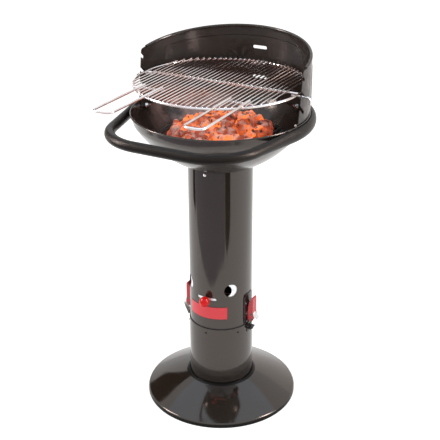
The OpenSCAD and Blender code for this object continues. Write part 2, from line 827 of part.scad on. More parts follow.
// A layer of the pressed panel, from r0 to r1, with rounded corners. A corner's
// circle is a little larger than its inset, so that it crosses the border.
module panel(r0, r1) {
    over = 0.2;
    inset = panel_corner / shield_r * 180 / PI;
    low = rim_z + panel_base;
    high = shield_top(shield_r * cos(panel_az - inset)) - panel_top;
    difference() {
        at_az(180) sector(r0, r1, panel_az, low, rim_z + shield_h);
        top_cut(panel_top);
        for (s = [-1, 1], z = [low + panel_corner, high - panel_corner])
            at_az(180 + s * (panel_az - inset))
                mirror([0, (1 - s) / 2, 0]) mirror([0, 0, z < high - 2 * panel_corner ? 1 : 0])
                    translate([0, 0, z < high - 2 * panel_corner ? -z : z])
                        difference() {
                            translate([r0 - 5, 0, 0]) cube([r1 - r0 + 10, 2 * panel_corner, 2 * panel_corner]);
                            radial(2 * (panel_corner + over), r0 - 6, r1 + 6, 0);
                        }
    }
}

// All that lies above the top edge, or above a line below it
module top_cut(drop) {
    translate([0, shield_r, shield_back_z - drop])
        rotate([shield_tilt, 0, 0])
            translate([-2 * shield_r, -3 * shield_r, 0])
                cube([4 * shield_r, 4 * shield_r, shield_h]);
}

// Notches in the front edges and slots in the back, one of each per level
module level_cuts() {
    for (i = [0:2]) {
        for (s = [0, 1])
            mirror([s, 0, 0]) translate([shield_in - 15, 0, level_z(i)]) rotate([90, 0, 90])
                rotate([0, 0, 180 - notch_slope])
                    linear_extrude(30) {
                        circle(d = notch_w);
                        translate([0, -notch_w / 2]) square([2 * shield_front, notch_w]);
                    }
        translate([0, shield_r + 15, level_z(i)]) rotate([90, 0, 0]) linear_extrude(30)
            slot(rear_slot_w, rear_slot_h);
    }
}

// Half-round windshield that nests in the bowl's band
module windshield() {
    color([0.2, 0.18, 0.17]) {
        difference() {
            union() {
                shield_skin();
                panel(shield_in + shield_wall / 2, shield_r + panel_t);
            }
            panel(shield_in - 5, shield_in + panel_t);
            top_cut(0);
            translate([0, -shield_front, rim_z]) rotate([-shield_lean, 0, 0])
                translate([-2 * shield_r, -2 * shield_r, -shield_h]) cube([4 * shield_r, 2 * shield_r, 3 * shield_h]);
            translate([0, corner_y, corner_z]) rotate([45, 0, 0])
                translate([-2 * shield_r, -shield_r, -shield_corner / sqrt(2)])
                    cube([4 * shield_r, 2 * shield_r, shield_h]);
            level_cuts();
            side_holes(shield_in - 20, shield_r + 4);
        }
        top_bead();
    }
}

// Rolled bead along the top edge: a round section swept along the sloping edge
module top_bead() {
    steps = 44;
    sides = 12;
    end = acos((corner_y + bead_stop) / bead_r);
    ring = [for (i = [0:steps]) let (
        a = -end + 2 * end * i / steps,
        mid = [bead_r * sin(a), bead_r * cos(a), shield_top(bead_r * cos(a))],
        run = [cos(a), -sin(a), -sin(a) * tan(shield_tilt)],
        ahead = run / norm(run),
        out = [sin(a), cos(a), 0],
        up = cross(out, ahead) / norm(cross(out, ahead)),
        away = cross(ahead, up))
        [for (k = [0:sides - 1]) let (q = polar(bead_d / 2, 360 * k / sides)) mid + q[0] * away + q[1] * up]];
    points = [for (r = ring, p = r) p];
    skin = [for (i = [0:steps - 1], k = [0:sides - 1]) let (
        a = i * sides + k, b = i * sides + (k + 1) % sides)
        each [[a, b + sides, a + sides], [a, b, b + sides]]];
    ends = [[for (k = [sides - 1:-1:0]) k], [for (k = [0:sides - 1]) steps * sides + k]];
    polyhedron(points = points, faces = concat(skin, ends));
}

// The handle's path: front bar, corners, tangents and the sweep round the bowl
handle_mid = [handle_half, handle_corner - handle_front];
handle_turn = atan2(handle_mid[1], handle_mid[0])
    + acos((handle_r - handle_corner) / norm(handle_mid));

// Points of the path on the right, each with the direction of the bend's outside
// and with how far the tube is pressed flat there, from 0 to 1
handle_steps = 13;
flat_steps = 6;
handle_right = concat(
    [for (i = [0:handle_steps]) let (a = -90 + (handle_turn + 90) * i / handle_steps)
        [handle_mid + polar(handle_corner, a), polar(1, a), 0]],
    [for (i = [1:flat_steps - 1]) let (t = i / flat_steps)
        [(1 - t) * (handle_mid + polar(handle_corner, handle_turn)) + t * polar(handle_r, handle_turn),
            polar(1, handle_turn), (1 - cos(180 * t)) / 2]],
    [for (i = [0:handle_steps + 3]) let (
        a = handle_turn + (handle_end - 90 - handle_turn) * i / (handle_steps + 3))
        [polar(handle_r, a), polar(1, a), 1]]);
handle_path = concat(
    [for (i = [len(handle_right) - 1:-1:0]) let (p = handle_right[i])
        [[-p[0][0], p[0][1]], [-p[1][0], p[1][1]], p[2]]],
    handle_right);
tube_sides = 20;

// Tube swept along the path
module handle_sweep() {
    n = tube_sides;
    last = len(handle_path) - 1;
    points = [for (wall = [0, tube_wall], p = handle_path, k = [0:n - 1]) let (
        a = 360 * k / n,
        out = (tube_d + p[2] * (tube_flat - tube_d)) / 2 - wall,
        up = (tube_d + p[2] * (tube_tall - tube_d)) / 2 - wall)
        [p[0][0] + out * cos(a) * p[1][0], p[0][1] + out * cos(a) * p[1][1], up * sin(a)]];
    inner = (last + 1) * n;
    skin = [for (i = [0:last - 1], k = [0:n - 1]) let (
        a = i * n + k, b = i * n + (k + 1) % n, c = inner + a, d = inner + b)
        each [[a, a + n, b + n], [a, b + n, b], [c, d + n, c + n], [c, d, d + n]]];
    ends = [for (k = [0:n - 1]) let (
        a = k, b = (k + 1) % n, e = last * n + a, f = last * n + b)
        each [[a, b, inner + b], [a, inner + b, inner + a],
            [e, inner + f, f], [e, inner + e, inner + f]]];
    translate([0, 0, handle_z])
        polyhedron(points = points, faces = concat(skin, ends));
}

// Bent tube that carries the grill and keeps hands off the bowl
module handle() {
    color([0.12, 0.12, 0.12])
        handle_sweep();
}

module handle_caps() {
    fit = (tube_flat - 2 * tube_wall) * cos(180 / tube_sides) - 2 * bolt_gap;
    color([0.05, 0.05, 0.05])
        for (s = [0, 1])
            mirror([s, 0, 0])
                at_az(handle_end) translate([handle_r, 0, handle_z])
                    scale([1, 1, tube_tall / tube_flat]) rotate([-90, 0, 0]) {
                        cylinder(d = tube_flat, h = 3);
                        translate([0, 0, -6]) cylinder(d1 = fit - 1, d2 = fit, h = 6);
                    }
}

// Studs on the tube, through the band and the windshield
module side_bolts() {
    step = (handle_end - 90 - handle_turn) / (handle_steps + 3);
    tube_in = (handle_r - tube_flat / 2) * cos(step / 2);
    color([0.8, 0.8, 0.8])
        for (a = [front_bolt_az, rear_bolt_az, -rear_bolt_az, -front_bolt_az])
            at_az(a) radial(side_bolt_d, nut_seat - 9.5, tube_in, handle_z);
}

// Wing nuts inside, so that the windshield comes off without tools
nut_seat = nest_r(handle_z) - shield_wall / band_out[0] - 1.4;

module wing_nuts() {
    color([0.8, 0.8, 0.8])
        for (p = [[front_bolt_az, 0], [rear_bolt_az, 90], [-rear_bolt_az, 0], [-front_bolt_az, 90]])
            at_az(p[0]) translate([nut_seat, 0, handle_z]) rotate([p[1], 0, 0]) rotate([0, -90, 0])
                difference() {
                    union() {
                        cylinder(d = 13, h = 2);
                        translate([0, 0, 2]) cylinder(d1 = 11.5, d2 = 9, h = 5, $fn = 48);
                        for (s = [0, 1])
                            mirror([s, 0, 0]) wing();
                    }
                    translate([0, 0, -1]) cylinder(d = side_bolt_d + 2 * bolt_gap, h = 10);
                }
}

// One of a nut's two wings, on its +X side
module wing() {
    translate([0, 1.2, 0]) rotate([90, 0, 0]) linear_extrude(2.4) {
        translate([3.8, 2]) square([6, 4.4]);
        translate([9.6, 5.2]) circle(r = 3.8);
    }
}

// Ring of thick wire round the cooking grid
module grid_ring() {
    color([0.85, 0.86, 0.88])
        bend([0, 0, ring_z], wire_r, wire_d, 0, 360);
}

// Parallel bars welded on the ring and the rod
module grid_bars() {
    color([0.85, 0.86, 0.88])
        for (i = [-bar_count:bar_count]) {
            x = i * bar_pitch;
            half = sqrt(wire_r * wire_r - x * x) + wire_d / 6;
            rod([x, -half, bar_z], [x, half, bar_z], bar_d);
        }
}

module grid_cross_rod() {
    half = butt_reach(wire_r, 0, wire_d);
    color([0.85, 0.86, 0.88])
        rod([-half, 0, ring_z], [half, 0, ring_z], wire_d);
}

// Bent ears that hang in the windshield's front notches
module grid_ears() {
    color([0.85, 0.86, 0.88])
        for (s = [0, 1])
            mirror([s, 0, 0]) {
                rod([wire_r - bar_margin, 0, ear_z], [ear_reach - ear_turn, 0, ear_z], ear_d);
                translate([ear_reach - ear_turn, 0, ear_z - ear_turn]) rotate([90, 0, 0])
                    bend([0, 0, 0], ear_turn, ear_d, 0, 90);
                rod([ear_reach, 0, ear_z - ear_turn], [ear_reach, 0, ear_z - ear_drop], ear_d);
            }
}

// Loop that holds the grid's back in a rear slot
module grid_rear_tab() {
    half = bar_pitch / 2;
    end = shield_in + tab_catch - half - tab_d / 2;
    start = grid_r - bar_margin;
    color([0.85, 0.86, 0.88])
        translate([0, 0, tab_z]) {
            for (s = [-1, 1])
                rod([s * half, start, 0], [s * half, end, 0], tab_d);
            bend([0, end, 0], half, tab_d, 0, 180);
        }
}

// U-shaped handle of the cooking grid
module grid_grip() {
    turn = (grip_out - grip_in) * 0.32;
    far = -grip_reach + turn;
    color([0.85, 0.86, 0.88])
        translate([0, 0, grip_z]) {
            rod([grip_in, -grip_start, 0], [grip_in, far, 0], wire_d);
            rod([grip_out, -grip_start, 0], [grip_out, far, 0], wire_d);
            bend([grip_in + turn, far, 0], turn, wire_d, 180, 270);
            bend([grip_out - turn, far, 0], turn, wire_d, 270, 360);
            rod([grip_in + turn, -grip_reach, 0], [grip_out - turn, -grip_reach, 0], wire_d);
        }
}

// Short wires that carry the inner ends of the two handles
module grid_grip_wires() {
    y = -grip_start - wire_d;
    over = bar_pitch * 0.9;
    color([0.85, 0.86, 0.88])
        for (s = [-1, 1])
            rod([s * (grip_in - over), y, ring_z], [s * (grip_out + over), y, ring_z], wire_d);
}

place() foot();
place() foot_bolts();
place() foot_nuts();
place() ash_pot();
place() pot_rivets();
place() pot_ring();
place() pot_seal();
place() column();
place() column_bolts();
place() column_nuts();
place() label_plate();
place() damper_ring();
place() damper_stem();
place() damper_knob();
place() latch_base();  // latch_base_right
place() mirror([1, 0, 0]) latch_base();  // latch_base_left
place() latch_rivets();
place() hinge_pin(lever_pin, lever_w / 2 + gap);  // latch_pin_right
place() mirror([1, 0, 0]) hinge_pin(lever_pin, lever_w / 2 + gap);  // latch_pin_left
place() latch_lever();  // latch_lever_right
place() mirror([1, 0, 0]) latch_lever();  // latch_lever_left
place() hinge_pin(hook_pin, lever_w / 2);  // hook_pin_right
place() mirror([1, 0, 0]) hinge_pin(hook_pin, lever_w / 2);  // hook_pin_left
place() latch_hook();  // latch_hook_right
place() mirror([1, 0, 0]) latch_hook();  // latch_hook_left
place() latch_catch();  // latch_catch_right
place() mirror([1, 0, 0]) latch_catch();  // latch_catch_left
place() bowl();
place() grate_ring();
place() grate_bars();
place() charcoal();
place() windshield();
place() handle();
place() handle_caps();
place() side_bolts();
place() wing_nuts();
place() grid_ring();
place() grid_bars();
place() grid_cross_rod();
place() grid_ears();
place() grid_rear_tab();
place() grid_grip();  // grid_grip_right
place() mirror([1, 0, 0]) grid_grip();  // grid_grip_left
place() grid_grip_wires();
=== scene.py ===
# A charcoal grill on a column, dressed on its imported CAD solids. Lengths are in metres and angles
# in degrees, +Z is up, and the damper's knob is at the front, towards -Y.
import math

import bmesh
import bpy
from mathutils import Matrix, Vector


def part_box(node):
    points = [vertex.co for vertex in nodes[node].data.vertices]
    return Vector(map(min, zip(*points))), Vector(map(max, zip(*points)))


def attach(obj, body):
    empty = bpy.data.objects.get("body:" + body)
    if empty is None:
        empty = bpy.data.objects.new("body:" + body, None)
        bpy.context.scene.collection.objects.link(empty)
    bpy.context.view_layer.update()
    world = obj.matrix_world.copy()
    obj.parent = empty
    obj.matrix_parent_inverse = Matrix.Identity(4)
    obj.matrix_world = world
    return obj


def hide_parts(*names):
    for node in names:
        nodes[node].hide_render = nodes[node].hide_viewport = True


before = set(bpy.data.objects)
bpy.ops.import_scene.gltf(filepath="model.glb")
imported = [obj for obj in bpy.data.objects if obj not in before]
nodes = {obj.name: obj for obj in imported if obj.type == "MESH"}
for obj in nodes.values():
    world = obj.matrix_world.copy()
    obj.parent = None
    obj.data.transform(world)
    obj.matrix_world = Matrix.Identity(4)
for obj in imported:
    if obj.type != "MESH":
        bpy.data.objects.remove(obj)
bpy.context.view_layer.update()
scene = bpy.context.scene

# The studio
# The object stands on a white floor that runs up to a white surround, and is seen from its front
# right, a little above the cooking grid, with a lens of about 80 mm. Cards that show only in gloss
# shape its reflections.
CAMERA_AZIMUTH = 28.3
CAMERA_DISTANCE = 2.3039
CAMERA_HEIGHT = 1.5715
CAMERA_ASIDE = -0.0017
CAMERA_PITCH = 24.72
CAMERA_ROLL = -0.274
CAMERA_LENS = 79.56
CAMERA_SENSOR = 36

column_low, column_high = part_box("column")
axis_x = (column_low.x + column_high.x) / 2
axis_y = (column_low.y + column_high.y) / 2
pan = Matrix.Rotation(math.radians(CAMERA_AZIMUTH), 4, "Z")
tilt = Matrix.Rotation(math.radians(90 - CAMERA_PITCH), 4, "X")
roll = Matrix.Rotation(math.radians(CAMERA_ROLL), 4, "Z")
stand = pan @ Vector((CAMERA_ASIDE, -CAMERA_DISTANCE, 0))
camera = bpy.data.objects.new("camera", bpy.data.cameras.new("camera"))
camera.data.lens = CAMERA_LENS
camera.data.sensor_width = CAMERA_SENSOR
camera.matrix_world = (
    Matrix.Translation((axis_x + stand.x, axis_y + stand.y, CAMERA_HEIGHT)) @ pan @ tilt @ roll
)
scene.collection.objects.link(camera)
scene.camera = camera
scene.view_settings.view_transform = "Standard"


def fill_inputs(tree, node, inputs):
    """Each input of a node, by its label or number, is linked to a socket or given a value."""
    for key, value in inputs.items():
        if isinstance(value, bpy.types.NodeSocket):
            tree.links.new(value, node.inputs[key])
        else:
            node.inputs[key].default_value = value


def add_node(tree, kind, inputs=None, **settings):
    """A new node with its settings and inputs."""
    node = tree.nodes.new(kind)
    for key, value in settings.items():
        setattr(node, key, value)
    fill_inputs(tree, node, inputs or {})
    return node


def calc(tree, operation, first, second=0.0):
    """One step of arithmetic in a tree."""
    return add_node(tree, "ShaderNodeMath", {0: first, 1: second}, operation=operation).outputs[0]


def seen_directly(tree):
    """1 for a ray from the camera, or by way of a mirror or glass; 0 for light on a surface."""
    ray = add_node(tree, "ShaderNodeLightPath").outputs
    camera_or_gloss = calc(tree, "MAXIMUM", ray["Is Camera Ray"], ray["Is Glossy Ray"])
    return calc(tree, "MAXIMUM", camera_or_gloss, ray["Is Transmission Ray"])


WHITE = (1, 1, 1, 1)
SURROUND_LIGHT = 0.55

world = bpy.data.worlds.new("white_surround")
world.use_nodes = True
scene.world = world
sky = world.node_tree
sky.nodes.clear()
sky_light = add_node(sky, "ShaderNodeBackground", {"Color": WHITE, "Strength": SURROUND_LIGHT})
sky_seen = add_node(sky, "ShaderNodeBackground", {"Color": WHITE, "Strength": 1.0})
sky_mix = add_node(sky, "ShaderNodeMixShader",
                   {0: seen_directly(sky), 1: sky_light.outputs[0], 2: sky_seen.outputs[0]})
add_node(sky, "ShaderNodeOutputWorld", {0: sky_mix.outputs[0]})

FLOOR_HALF = 14.0
FLOOR_COLOUR = (0.86, 0.855, 0.85, 1)
FLOOR_GLOW = (1, 0.995, 0.99, 1)
FLOOR_LIGHT = 0.56

floor_mesh = bpy.data.meshes.new("floor")
floor_corners = [(x * FLOOR_HALF, y * FLOOR_HALF, 0) for x, y in ((-1, -1), (1, -1), (1, 1), (-1, 1))]
floor_mesh.from_pydata(floor_corners, [], [(0, 1, 2, 3)])
floor = bpy.data.objects.new("floor", floor_mesh)
scene.collection.objects.link(floor)
floor_paint = bpy.data.materials.new("floor_paint")
floor_paint.use_nodes = True
paint = floor_paint.node_tree
paint.nodes.clear()
matt = add_node(paint, "ShaderNodeBsdfDiffuse", {"Color": FLOOR_COLOUR})
floor_glow = add_node(paint, "ShaderNodeEmission", {"Color": FLOOR_GLOW, "Strength": FLOOR_LIGHT})
seen_glow = add_node(paint, "ShaderNodeMixShader", {0: seen_directly(paint), 2: floor_glow.outputs[0]})
lit_floor = add_node(paint, "ShaderNodeAddShader", {0: matt.outputs[0], 1: seen_glow.outputs[0]})
add_node(paint, "ShaderNodeOutputMaterial", {0: lit_floor.outputs[0]})
floor_mesh.materials.append(floor_paint)


def around(azimuth, distance, height):
    """A place at an azimuth from the front, towards +X, and at a distance from the grill's axis."""
    a = math.radians(azimuth)
    return Vector((axis_x + distance * math.sin(a), axis_y - distance * math.cos(a), height))


LAMP_AIM = 0.55


def softbox(name, azimuth, distance, height, width, tall, power):
    """A soft lamp that faces the grill's axis."""
    lamp = bpy.data.lights.new(name, "AREA")
    lamp.shape = "RECTANGLE"
    lamp.size, lamp.size_y = width, tall
    lamp.energy = power
    box = bpy.data.objects.new(name, lamp)
    stood = around(azimuth, distance, height)
    away = stood - Vector((axis_x, axis_y, LAMP_AIM))
    box.matrix_world = Matrix.Translation(stood) @ away.to_track_quat("Z", "Y").to_matrix().to_4x4()
    scene.collection.objects.link(box)


softbox("lamp_above", azimuth=20, distance=0.6, height=3.2, width=2.4, tall=2.4, power=38)
softbox("lamp_left", azimuth=-60, distance=2.6, height=1.7, width=1.2, tall=2.0, power=16)
softbox("lamp_right", azimuth=105, distance=2.6, height=1.5, width=0.8, tall=2.2, power=16)


def gloss_card(name, corners, colour, strength):
    """A card of the studio that shows only in gloss, like the flags and screens of a photographer."""
    mesh = bpy.data.meshes.new(name)
    mesh.from_pydata([around(*corner) for corner in corners], [], [tuple(range(len(corners)))])
    card = bpy.data.objects.new(name, mesh)
    scene.collection.objects.link(card)
    made = bpy.data.materials.new(name)
    made.use_nodes = True
    made.node_tree.nodes.clear()
    shine = add_node(made.node_tree, "ShaderNodeEmission", {"Color": colour + (1,), "Strength": strength})
    add_node(made.node_tree, "ShaderNodeOutputMaterial", {0: shine.outputs[0]})
    mesh.materials.append(made)
    card.visible_camera = False
    card.visible_diffuse = False
    card.visible_transmission = False
    card.visible_shadow = False


CARD_LIFT = 0.004
CEILING_REACH = 2.3
CEILING_HEIGHT = 2.7
GLOW_COLOUR = (1.0, 0.86, 0.82)
GLOW_STRENGTH = 34.0


def lying(*corners):
    """The corners of a card that lies just over the floor, each an azimuth and a distance."""
    return [(azimuth, distance, CARD_LIFT) for azimuth, distance in corners]


def upright(start, end, distance, low, high):
    """The corners of a card that stands between two azimuths and two heights."""
    return [(start, distance, low), (end, distance, low), (end, distance, high), (start, distance, high)]


gloss_card("card_cool_floor",
           lying((-10, 0.72), (-22, 0.78), (-50, 1.0), (-68, 1.42), (-68, 9.0),
                 (-20, 9.0), (20, 9.0), (43, 9.0), (43, 0.95), (22, 0.84)),
           colour=(0.68, 0.65, 0.75), strength=0.9)
gloss_card("card_dark_right",
           lying((49, 0.95), (44, 1.1), (43, 9.0), (62, 9.0), (62, 1.25), (56, 1.05)),
           colour=(0.2, 0.16, 0.12), strength=0.7)
gloss_card("card_dark_left", lying((-70, 1.25), (-82, 1.4), (-84, 9.0), (-68, 9.0)),
           colour=(0.1, 0.08, 0.06), strength=0.6)
gloss_card("card_bright_back", upright(start=155, end=210, distance=2.0, low=0, high=1.1),
           colour=(1.0, 0.95, 0.93), strength=1.25)
gloss_card("card_dark_side", upright(start=238, end=262, distance=3.0, low=0.95, high=2.6),
           colour=(0.3, 0.16, 0.1), strength=0.25)
gloss_card("card_ceiling", [(azimuth, CEILING_REACH, CEILING_HEIGHT) for azimuth in range(0, 360, 6)],
           colour=(0.74, 0.86, 1.0), strength=1.5)
gloss_card("card_glow_right", upright(start=96, end=110, distance=1.8, low=1.0, high=2.3),
           GLOW_COLOUR, GLOW_STRENGTH)
gloss_card("card_glow_left", upright(start=-70, end=-58, distance=1.8, low=1.0, high=2.3),
           GLOW_COLOUR, GLOW_STRENGTH)

# The foot
# One deep-drawn sheet cone with a folded hem and a rolled collar, coated in gloss enamel that
# mirrors the column. The enamel is fired on, so it has a soft waviness and a fine orange peel. The
# hem is a duller black, and the collar's lip is painted in the same black as shade.
ENAMEL_DARK = (0.017, 0.0128, 0.0102, 1)
ENAMEL_LIGHT = (0.0235, 0.0178, 0.0142, 1)
ENAMEL_TINT = (1.0, 0.9, 0.83, 1)
ENAMEL_IOR = 1.65
ENAMEL_HAZE = 0.085
ENAMEL_WAVE = 0.0022
ENAMEL_PEEL = 0.00002


def new_material(name):
    """A material, its node tree and its shader."""
    made = bpy.data.materials.new(name)
    made.use_nodes = True
    return made, made.node_tree, made.node_tree.nodes["Principled BSDF"]


def in_metres(tree):
    """The place on the object, in metres: every piece sits at the origin."""
    found = tree.nodes.get("place") or add_node(tree, "ShaderNodeTexCoord", name="place")
    return found.outputs["Object"]


def speckle(tree, scale, detail, roughness=0.5):
    """Noise with about so many features to a metre."""
    cloud = add_node(tree, "ShaderNodeTexNoise",
                     {"Vector": in_metres(tree), "Scale": scale, "Detail": detail, "Roughness": roughness})
    return cloud.outputs["Fac"]


def between(tree, value, low, high, new_low=0.0, new_high=1.0):
    """The value, spread from low and high to a new range."""
    ends = {"From Min": low, "From Max": high, "To Min": new_low, "To Max": new_high}
    spread = add_node(tree, "ShaderNodeMapRange", {"Value": value, **ends},
                      clamp=True, interpolation_type="SMOOTHSTEP")
    return spread.outputs["Result"]


def colour_mix(tree, share, first, second):
    """A mix of two colours or two coloured sockets."""
    return add_node(tree, "ShaderNodeMix", {0: share, 6: first, 7: second}, data_type="RGBA").outputs[2]


def add_bump(tree, shader, height, depth):
    """A bump of a real depth in metres, over any bump that the shader has."""
    bump = add_node(tree, "ShaderNodeBump", {"Height": height, "Distance": depth})
    before = shader.inputs["Normal"].links
    if before:
        tree.links.new(before[0].from_socket, bump.inputs["Normal"])
    tree.links.new(bump.outputs["Normal"], shader.inputs["Normal"])


def enamel(name, haze=ENAMEL_HAZE, peel=ENAMEL_PEEL, more=None):
    """Gloss enamel: near-black glass on steel, a little warm, with a cloudy sheen."""
    made, tree, shader = new_material(name)
    clouds = between(tree, speckle(tree, scale=7, detail=4), 0.35, 0.65)
    patches = speckle(tree, scale=38, detail=5, roughness=0.6)
    fill_inputs(tree, shader, {
        "Base Color": colour_mix(tree, clouds, ENAMEL_DARK, ENAMEL_LIGHT), "Specular Tint": ENAMEL_TINT,
        "Roughness": between(tree, patches, 0.3, 0.75, haze * 0.7, haze * 1.5), "IOR": ENAMEL_IOR,
        **(more or {})})
    add_bump(tree, shader, speckle(tree, scale=5, detail=1), ENAMEL_WAVE)
    add_bump(tree, shader, speckle(tree, scale=420, detail=2), peel)
    return made


TURN_STEPS = 144


def turned(name, outline):
    """A closed outline of distances and heights, turned about the grill's axis."""
    shape = bmesh.new()
    rings = []
    for i in range(TURN_STEPS):
        a = math.tau * i / TURN_STEPS
        around_axis = [(axis_x + r * math.cos(a), axis_y + r * math.sin(a), z) for r, z in outline]
        rings.append([shape.verts.new(point) for point in around_axis])
    for i in range(TURN_STEPS):
        here, ahead = rings[i], rings[(i + 1) % TURN_STEPS]
        for k in range(len(outline)):
            after = (k + 1) % len(outline)
            shape.faces.new((here[k], ahead[k], ahead[after], here[after]))
    bmesh.ops.recalc_face_normals(shape, faces=shape.faces)
    mesh = bpy.data.meshes.new(name)
    shape.to_mesh(mesh)
    shape.free()
    return mesh


def soften(mesh, crease):
    """Smooth shading, apart from edges sharper than the crease's degrees."""
    mesh.polygons.foreach_set("use_smooth", [True] * len(mesh.polygons))
    mesh.set_sharp_from_angle(angle=math.radians(crease))


def fitted(name, mesh, node, body):
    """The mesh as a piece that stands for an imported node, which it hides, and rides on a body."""
    piece = bpy.data.objects.new(name, mesh)
    scene.collection.objects.link(piece)
    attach(piece, body)
    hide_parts(node)


FOOT_SHEET = 0.0015
FOOT_CREASE = 40
HEM_DARK = (0.004, 0.0036, 0.0034, 1)
HEM_LIGHT = (0.008, 0.0072, 0.0066, 1)
HEM_H = 0.0105
HEM_T = 0.003
HEM_ROUND = 0.0006
HEM_SHOULDER_IN = 0.0007
HEM_SHOULDER_H = 0.0022
HEM_INSIDE_DROP = 0.0005
HEM_BLACK_DROP = 0.0004
CONE_INSIDE_HEM = 0.002
CONE_OVER_HEM = 0.0018
CONE_SWELL = 0.0022
CONE_SWELL_OUT = 0.45
CONE_STEPS = 12
CONE_EDGE = 0.015
SHEET_IN = FOOT_SHEET * 0.45
SHEET_DOWN = FOOT_SHEET * 0.9
COLLAR_W = 0.0085
COLLAR_H = 0.0035
# How far each point of the lip lies outside the pot, and below the collar's top.
LIP_CURVE = ((0.005, 0.001), (0.0032, 0.0001), (0.0012, 0.0), (0.0002, 0.0008))
# How far out from the pot and how far down from the collar's top the lip is painted black as shade.
LIP_SHADE_W = 0.0075
LIP_SHADE_H = 0.006
SEAT_W = 0.022
SEAT_TOP_DROP = 0.002
SEAT_BACK_DROP = 0.005
POT_FIT = 0.0003

foot_low, foot_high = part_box("foot")
pot_low, pot_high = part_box("ash_pot")
foot_r = (foot_high.x - foot_low.x) / 2
collar_in = (pot_high.x - pot_low.x) / 2 + POT_FIT
collar_top = foot_high.z
cone_low = (foot_r - CONE_INSIDE_HEM, HEM_H + CONE_OVER_HEM)
cone_high = (collar_in + COLLAR_W, collar_top - COLLAR_H)
cone = []
for share in [0.0, CONE_EDGE] + [i / CONE_STEPS for i in range(1, CONE_STEPS)] + [1 - CONE_EDGE, 1.0]:
    swell = CONE_SWELL * math.sin(math.pi * share)
    cone.append((cone_low[0] + (cone_high[0] - cone_low[0]) * share + swell * CONE_SWELL_OUT,
                 cone_low[1] + (cone_high[1] - cone_low[1]) * share + swell))
cone_under = [(r - SHEET_IN, z - SHEET_DOWN) for r, z in reversed(cone)]
lip = [(collar_in + out, collar_top - drop) for out, drop in LIP_CURVE]
seat = [(collar_in, collar_top - SEAT_TOP_DROP), (collar_in, pot_low.z), (collar_in - SEAT_W, pot_low.z),
        (collar_in - SEAT_W, pot_low.z - FOOT_SHEET), (collar_in + FOOT_SHEET, pot_low.z - FOOT_SHEET),
        (collar_in + FOOT_SHEET, collar_top - SEAT_BACK_DROP)]
hem_in = [(foot_r - HEM_T, HEM_H - HEM_INSIDE_DROP), (foot_r - HEM_T, 0.0)]
hem_out = [(foot_r - HEM_ROUND, 0.0), (foot_r, HEM_ROUND), (foot_r, HEM_H - HEM_SHOULDER_H),
           (foot_r - HEM_SHOULDER_IN, HEM_H - HEM_ROUND)]

column_enamel = enamel("column_enamel")
# A duller black for the hem and the rivets, also used as painted shade on the collar's lip.
dull_black_and_shade, hem_tree, hem_shader = new_material("dull_black_and_shade")
hem_shade = colour_mix(hem_tree, speckle(hem_tree, scale=160, detail=3), HEM_DARK, HEM_LIGHT)
fill_inputs(hem_tree, hem_shader, {"Base Color": hem_shade, "Roughness": 0.3, "Specular IOR Level": 0.12})
foot_mesh = turned("foot_cone", hem_out + cone + lip + seat + cone_under + hem_in)
soften(foot_mesh, FOOT_CREASE)
foot_mesh.materials.append(column_enamel)
foot_mesh.materials.append(dull_black_and_shade)
# The hem's faces take the duller black, and the lip's faces take it as painted shade.
for face in foot_mesh.polygons:
    reach = math.hypot(face.center.x - axis_x, face.center.y - axis_y)
    in_shaded_lip = face.center.z > collar_top - LIP_SHADE_H and reach < collar_in + LIP_SHADE_W
    if in_shaded_lip or face.center.z < HEM_H - HEM_BLACK_DROP:
        face.material_index = 1
fitted("foot_cone", foot_mesh, "foot", "root")

# The foot's bolts and nuts
# Three hexagon bolts of galvanised steel clamp the ash pot on the foot's seat, with nuts below.
# Their heads lie inside the pot.
SMOOTH_CREASE = 35
JOIN_WITHIN = 1e-6
SLIVER = 1e-7
SPECKLE_SPAN = (0.3, 0.7)
DEEPER = 0.82


def dressed(name, node, body, finish, crease=SMOOTH_CREASE):
    """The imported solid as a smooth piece: its triangles joined, and its finish put on."""
    mesh = nodes[node].data.copy()
    mesh.name = name
    shape = bmesh.new()
    shape.from_mesh(mesh)
    bmesh.ops.remove_doubles(shape, verts=shape.verts, dist=JOIN_WITHIN)
    bmesh.ops.dissolve_degenerate(shape, edges=shape.edges, dist=SLIVER)
    shape.to_mesh(mesh)
    shape.free()
    if mesh.has_custom_normals:
        mesh.attributes.remove(mesh.attributes["custom_normal"])
    soften(mesh, crease)
    mesh.materials.clear()
    mesh.materials.append(finish)
    fitted(name, mesh, node, body)


def mottled(tree, colour, scale, detail, roughness=0.5):
    """A colour with patches of a deeper shade."""
    deeper = tuple(c * DEEPER for c in colour) + (1,)
    patches = between(tree, speckle(tree, scale, detail, roughness), *SPECKLE_SPAN)
    return colour_mix(tree, patches, deeper, colour + (1,))


def plain_steel(name, colour, roughness):
    """Bare or plated steel, with a mottled sheen and a faint grain."""
    made, tree, shader = new_material(name)
    patches = speckle(tree, scale=180, detail=3)
    fill_inputs(tree, shader, {
        "Base Color": mottled(tree, colour, scale=60, detail=4, roughness=0.6), "Metallic": 1.0,
        "Roughness": between(tree, patches, *SPECKLE_SPAN, roughness * 0.75, roughness * 1.3)})
    add_bump(tree, shader, speckle(tree, scale=900, detail=2), depth=0.00002)
    return made


zinc = plain_steel("zinc_plate", (0.78, 0.77, 0.76), roughness=0.24)
dressed("foot_hex_bolts", "foot_bolts", "root", zinc)
dressed("foot_hex_nuts", "foot_nuts", "root", zinc)

# The ash pot
# A deep-drawn pot of the same enamelled sheet. Its black rivets hold a galvanised ring that
# centres the column, and a soft black ring closes the seam.
dressed("ash_pot_shell", "ash_pot", "root", column_enamel)
dressed("ash_pot_rivets", "pot_rivets", "root", dull_black_and_shade)


def grey_cells(tree, scale):
    """Angular cells, each with a grey of its own, and so many of them to a metre."""
    cells = add_node(tree, "ShaderNodeTexVoronoi", {"Vector": in_metres(tree), "Scale": scale})
    return add_node(tree, "ShaderNodeRGBToBW", {0: cells.outputs["Color"]}).outputs[0]


